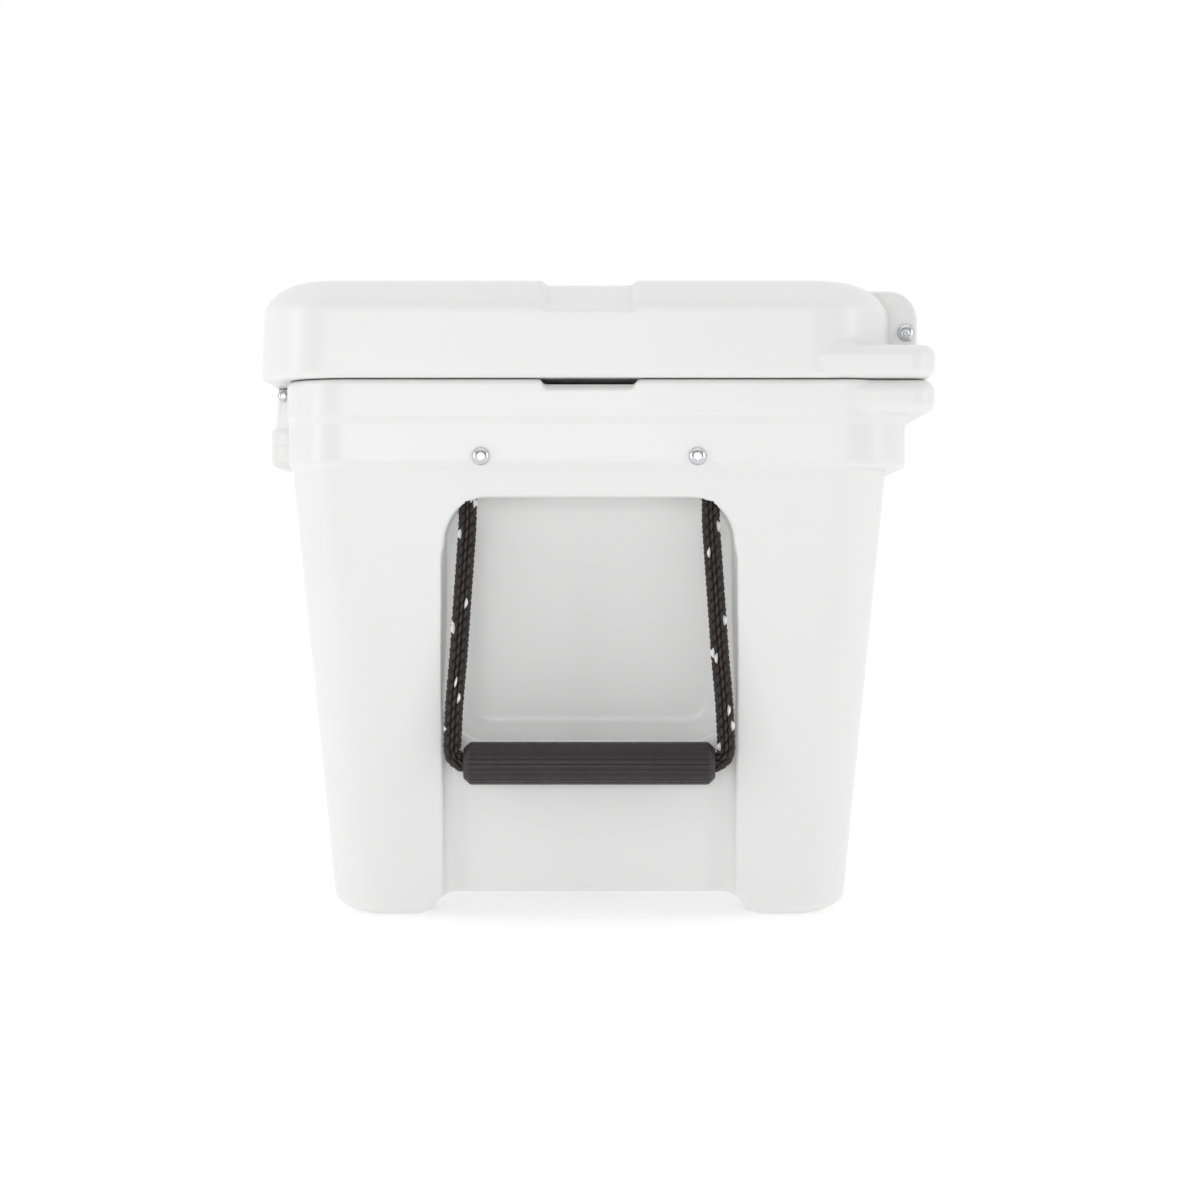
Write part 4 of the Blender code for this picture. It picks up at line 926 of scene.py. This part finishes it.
def braided_rope(name, side):
    """Solid braid: columns of almond-shaped stitches round a core coloured near black as painted shade in
    the gaps between stitches, with a few white tracers.
    """
    columns, pitch, stitch, thick = 10, 0.0064, 0.0078, 0.0021
    slant = math.radians(9)
    half_angle = math.pi / columns * 0.80
    tracer_share, tracer_lift = 0.72, 0.0002
    points, length = smooth_route(rope_points(side), 0.0015)
    route = Route(points, length)
    ring, spine = 8, 7
    around = np.arange(ring) * 2 * math.pi / ring
    along = np.linspace(-1, 1, spine)
    width = np.maximum(1 - along**2, 0.03) ** 0.75
    lean = along * stitch / 2 * math.tan(slant) / ROPE_RADIUS
    lift = ROPE_RADIUS + 0.0004 - thick - 0.0012 * along**2
    verts, faces, uvs, kinds = [], [], [], []
    for column, row in itertools.product(range(columns), range(int(length / pitch) + 1)):
        middle = (row + 0.5 * (column % 2)) * pitch
        if middle < 0.5 * stitch or middle > length - 0.5 * stitch:
            continue
        tracer = is_tracer(row, column, columns)
        turn = 2 * math.pi * column / columns
        s = middle + along * stitch / 2
        angle = turn + lean[:, None] + half_angle * width[:, None] * np.cos(around)[None, :]
        radius = lift[:, None] + thick * width[:, None] * np.sin(around)[None, :]
        radius = radius - 0.0005 * np.cos(around)[None, :] ** 2
        if tracer:
            angle = turn + lean[:, None] + tracer_share * (angle - turn - lean[:, None])
            radius = radius + tracer_lift
        base = len(verts) * spine * ring
        distance = np.broadcast_to(s[:, None], angle.shape)
        verts.append(route.place(distance, angle, radius).reshape(-1, 3))
        for i, j, face in tube_faces(base, spine, ring):
            faces.append(face)
            u = (row + column * 0.37 + i / spine, row + column * 0.37 + (i + 1) / spine)
            v = (j / ring, (j + 1) / ring)
            uvs += [(u[0], v[0]), (u[0], v[1]), (u[1], v[1]), (u[1], v[0])]
            kinds.append(int(tracer))
        for face in cap_faces(base, spine, ring):
            faces.append(face)
            uvs += [(row, j / ring) for j in range(ring)]
            kinds.append(int(tracer))
    # The core tube is coloured near black, as painted shade that shows through the gaps between the
    # stitches.
    core_ring, core_radius = 12, ROPE_RADIUS - 0.0019
    core_angle = np.arange(core_ring) * 2 * math.pi / core_ring
    base = sum(len(block) for block in verts)
    marks = np.linspace(0, length, len(points) // 2)
    verts.append(route.place(
        np.repeat(marks, core_ring), np.tile(core_angle, len(marks)),
        np.full(len(marks) * core_ring, core_radius)))
    for i, j, face in tube_faces(base, len(marks), core_ring):
        faces.append(face)
        uvs += [(i, j), (i, j + 1), (i + 1, j + 1), (i + 1, j)]
        kinds.append(2)
    for face in cap_faces(base, len(marks), core_ring):
        faces.append(face)
        uvs += [(0, j) for j in range(core_ring)]
        kinds.append(2)
    rope = new_object(name, np.concatenate(verts), faces)
    layer = rope.data.uv_layers.new(name="stitch")
    layer.data.foreach_set("uv", np.array(uvs, np.float32).ravel())
    rope.data.polygons.foreach_set("material_index", kinds)
    rope.data.update()
    for one in (ROPE_YARN, TRACER_YARN, SHADE_PAINTED_CORE_YARN):
        rope.data.materials.append(one)
    return rope, points, length


def ribbed_grip(name, centre, half):
    """A rubber tube with fine lengthwise ribs and chamfered, flared ends."""
    segments, ribs, radius, chamfer = 384, 24, 0.0130, 0.0043
    bore = ROPE_RADIUS + 0.0006
    profile = [
        (bore, -half + 3 * GRIP_FLARE, 0), (bore + 0.4 * GRIP_FLARE, -half + GRIP_FLARE, 0),
        (bore + GRIP_FLARE, -half, 0), (radius - chamfer, -half, 0.1),
        (radius - chamfer + 0.0006, -half + 0.0002, 0.2),
        (radius - 0.0007, -half + chamfer - 0.0009, 0.9), (radius - 0.0002, -half + chamfer - 0.0002, 1),
        (radius, -half + chamfer + 0.0006, 1),
    ]
    profile += [(reach, -height, rib) for reach, height, rib in reversed(profile)]
    angles = np.arange(segments) * 2 * math.pi / segments
    wave = 0.0005 * (np.abs(np.sin(angles * ribs / 2)) ** 0.35 - 1)
    points = []
    for reach, height, rib in profile:
        around = reach + rib * wave
        level = np.full(segments, height)
        points.append(np.stack([around * np.cos(angles), around * np.sin(angles), level], 1))
    grip = new_object(name, np.concatenate(points), turned_faces(len(profile), segments))
    grip.data.set_sharp_from_angle(angle=math.radians(50))
    return place(grip, centre, (0, 1, 0))


def make_handles():
    for end, side in SIDES.items():
        node = f"handle_grip_{end}"
        low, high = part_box(node)
        grip = ribbed_grip(f"{node}_ribbed", centre_of(node), (high[1] - low[1]) / 2)
        finish_piece(grip, f"handle_{end}", "rubber_dark", DARK_RUBBER, node)
        node = f"handle_rope_{end}"
        rope, points, length = braided_rope(f"{node}_braided", side)
        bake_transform(rope)
        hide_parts(node)


# ---- gasket, feet and plugs -------------------------------------------------------------------
def make_gasket():
    """A bulb seal with a flat back, running round the tub mouth."""
    low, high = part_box("lid_gasket")
    bulb_radius, bulb_from_mouth = 0.0026, 0.011

    def field(x, y, z):
        mouth = rounded_rect(x, y - MID_Y, TUB_HALF[0], TUB_HALF[1], TUB_CORNER)
        band = both(span(mouth, 0.0066, 0.0154), span(z, low[2] + 0.0014, high[2]), 0.0006)
        bulb = np.hypot(mouth - bulb_from_mouth, (z - low[2] - bulb_radius)) - bulb_radius
        return either(band, bulb, 0.0008)

    gasket = net_object("lid_gasket_bulb", field, low, high, 0.0012)
    finish_piece(gasket, "lid", "seal_rubber", SEAL_RUBBER, "lid_gasket")


def foot_field(centre, half, low, high):
    """A rounded pad with grooves across its sole."""
    groove_pitch, groove_half, groove_depth, margin = 0.006, 0.0007, 0.0009, 0.004

    def field(x, y, z):
        across, along = x - centre.x, y - centre.y
        pad = rounded_rect(across, along, half.x, half.y, 0.008)
        solid = slab(pad, z, low, high, 0.0008, 0.0003)
        tread = np.abs(np.mod(across, groove_pitch) - groove_pitch / 2) - groove_half
        sole = rounded_rect(across, along, half.x - margin, half.y - margin, 0.004)
        return without(solid, both(both(tread, sole, 0.0002), z - groove_depth), 0.0002)

    return field


def make_feet():
    for end in SIDES:
        for place_name, hand in (("front", -1), ("rear", 1)):
            node = f"foot_{end}_{place_name}"
            low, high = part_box(node)
            centre = centre_of(node)
            half = (Vector(high) - Vector(low)) / 2
            centre.y += hand * PAD_TRIM
            half.y -= PAD_TRIM
            field = foot_field(centre, half, low[2], high[2])
            pad = net_object(f"{node}_pad", field, low, high, 0.0007)
            finish_piece(pad, "chest", "rubber_grey", GREY_RUBBER, node)


def make_plugs():
    """Snap-in plugs of the foam filling ports, under the body and under the lid."""
    bore, brim, bevel = 0.0015, 0.0009, 0.0004
    for body, part in (("chest", "body"), ("lid", "lid")):
        for end in SIDES:
            node = f"{part}_fill_plug_{end}"
            low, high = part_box(node)
            rim, deep = (high[0] - low[0]) / 2, high[2] - low[2]
            stem = rim - 0.0033
            profile = [
                (bore, bevel), (rim * 0.62, bevel), (rim * 0.66, 0.0), (rim - 0.0006, 0.0),
                (rim, bevel), (rim, brim), (stem, brim), (stem, deep - 0.0006),
                (stem - 0.0006, deep), (bore, deep),
            ]
            plug = turned_object(f"{node}_turned", profile, 64, 45)
            centre = centre_of(node)
            place(plug, (centre.x, centre.y, low[2]))
            finish_piece(plug, body, "polyethylene_white", FITTING, node)


# ---- drain ------------------------------------------------------------------------------------
def set_on_drain(piece, node, body, slot, surface):
    """Places a piece, built from its outer face inward, on the drain's axis."""
    outer_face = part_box(node)[0][0]
    axis = centre_of("drain_fitting")
    place(piece, (outer_face, axis.y, axis.z), (1, 0, 0))
    finish_piece(piece, body, slot, surface, node)


def make_drain_fitting():
    low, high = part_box("drain_fitting")
    radius, long = (high[2] - low[2]) / 2, high[0] - low[0]
    bore, barrel, flange, bevel = 0.0090, 0.0125, 0.003, 0.0008
    profile = [
        (bore, 0.0), (radius - bevel, 0.0), (radius, bevel), (radius, flange), (barrel, flange),
        (barrel, long), (bore, long),
    ]
    fitting = turned_object("drain_fitting_turned", profile, 72, 45)
    set_on_drain(fitting, "drain_fitting", "chest", "polyethylene_white", FITTING)


def make_drain_nut():
    low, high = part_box("drain_nut")
    thick, half = high[0] - low[0], 0.018

    def field(x, y, z):
        reach, angle = np.hypot(x, y), np.arctan2(y, x)
        lobes = reach - 0.0165 - 0.0007 * np.cos(8 * angle)
        return without(both(lobes, span(z, 0.0, thick), 0.0012), reach - 0.0128, 0.0004)

    nut = net_object("drain_nut_lobed", field, (-half, -half, 0), (half, half, thick), 0.0007)
    set_on_drain(nut, "drain_nut", "chest", "polyethylene_white", FITTING)


def make_drain_seal():
    low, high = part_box("drain_seal")
    thick, inner, outer, bevel = high[0] - low[0], 0.0086, 0.0130, 0.0005
    profile = [
        (inner, 0.0), (outer - 0.0004, 0.0), (outer, bevel), (outer, thick - bevel),
        (outer - 0.0004, thick), (inner, thick),
    ]
    washer = turned_object("drain_seal_ring", profile, 48)
    set_on_drain(washer, "drain_seal", "drain_seal", "rubber_grey", GREY_RUBBER)


def make_drain_plug():
    """Scalloped cap with a finger wing, on a threaded shank."""
    low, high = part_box("drain_plug")
    long, knob, half, thread_pitch = high[0] - low[0], 0.011, 0.0165, 0.003

    def field(x, y, z):
        reach, angle = np.hypot(x, y), np.arctan2(y, x)
        scallop = 0.0162 - 0.0008 * (0.5 + 0.5 * np.cos(12 * angle)) ** 3
        cap = both(reach - scallop, span(z, 0.0035, knob), 0.0012)
        wing = both(np.abs(x) - 0.0028, np.abs(y) - 0.0135, 0.0015)
        wing = both(wing, span(z, 0.0, 0.006), 0.0012)
        thread = 0.0080 + 0.0002 * np.sin(z * 2 * math.pi / thread_pitch)
        shank = both(reach - thread, span(z, knob - 0.002, long), 0.0006)
        return either(either(cap, wing, 0.0015), shank, 0.0005)

    plug = net_object("drain_plug_winged", field, (-half, -half, 0), (half, half, long), 0.0006)
    set_on_drain(plug, "drain_plug", "drain_plug", "rubber_grey", GREY_RUBBER)


def make_drain():
    make_drain_fitting()
    make_drain_nut()
    make_drain_seal()
    make_drain_plug()


# ---- insulation -------------------------------------------------------------------------------
def dress_foam():
    for node in ("body_foam", "lid_foam"):
        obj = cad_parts[node]
        obj.data.materials.clear()
        obj.data.materials.append(FOAM)


make_camera()
make_stage()
make_handles()
make_shells()
make_screws()
make_rods()
make_latches()
make_gasket()
make_feet()
make_plugs()
make_drain()
dress_foam()
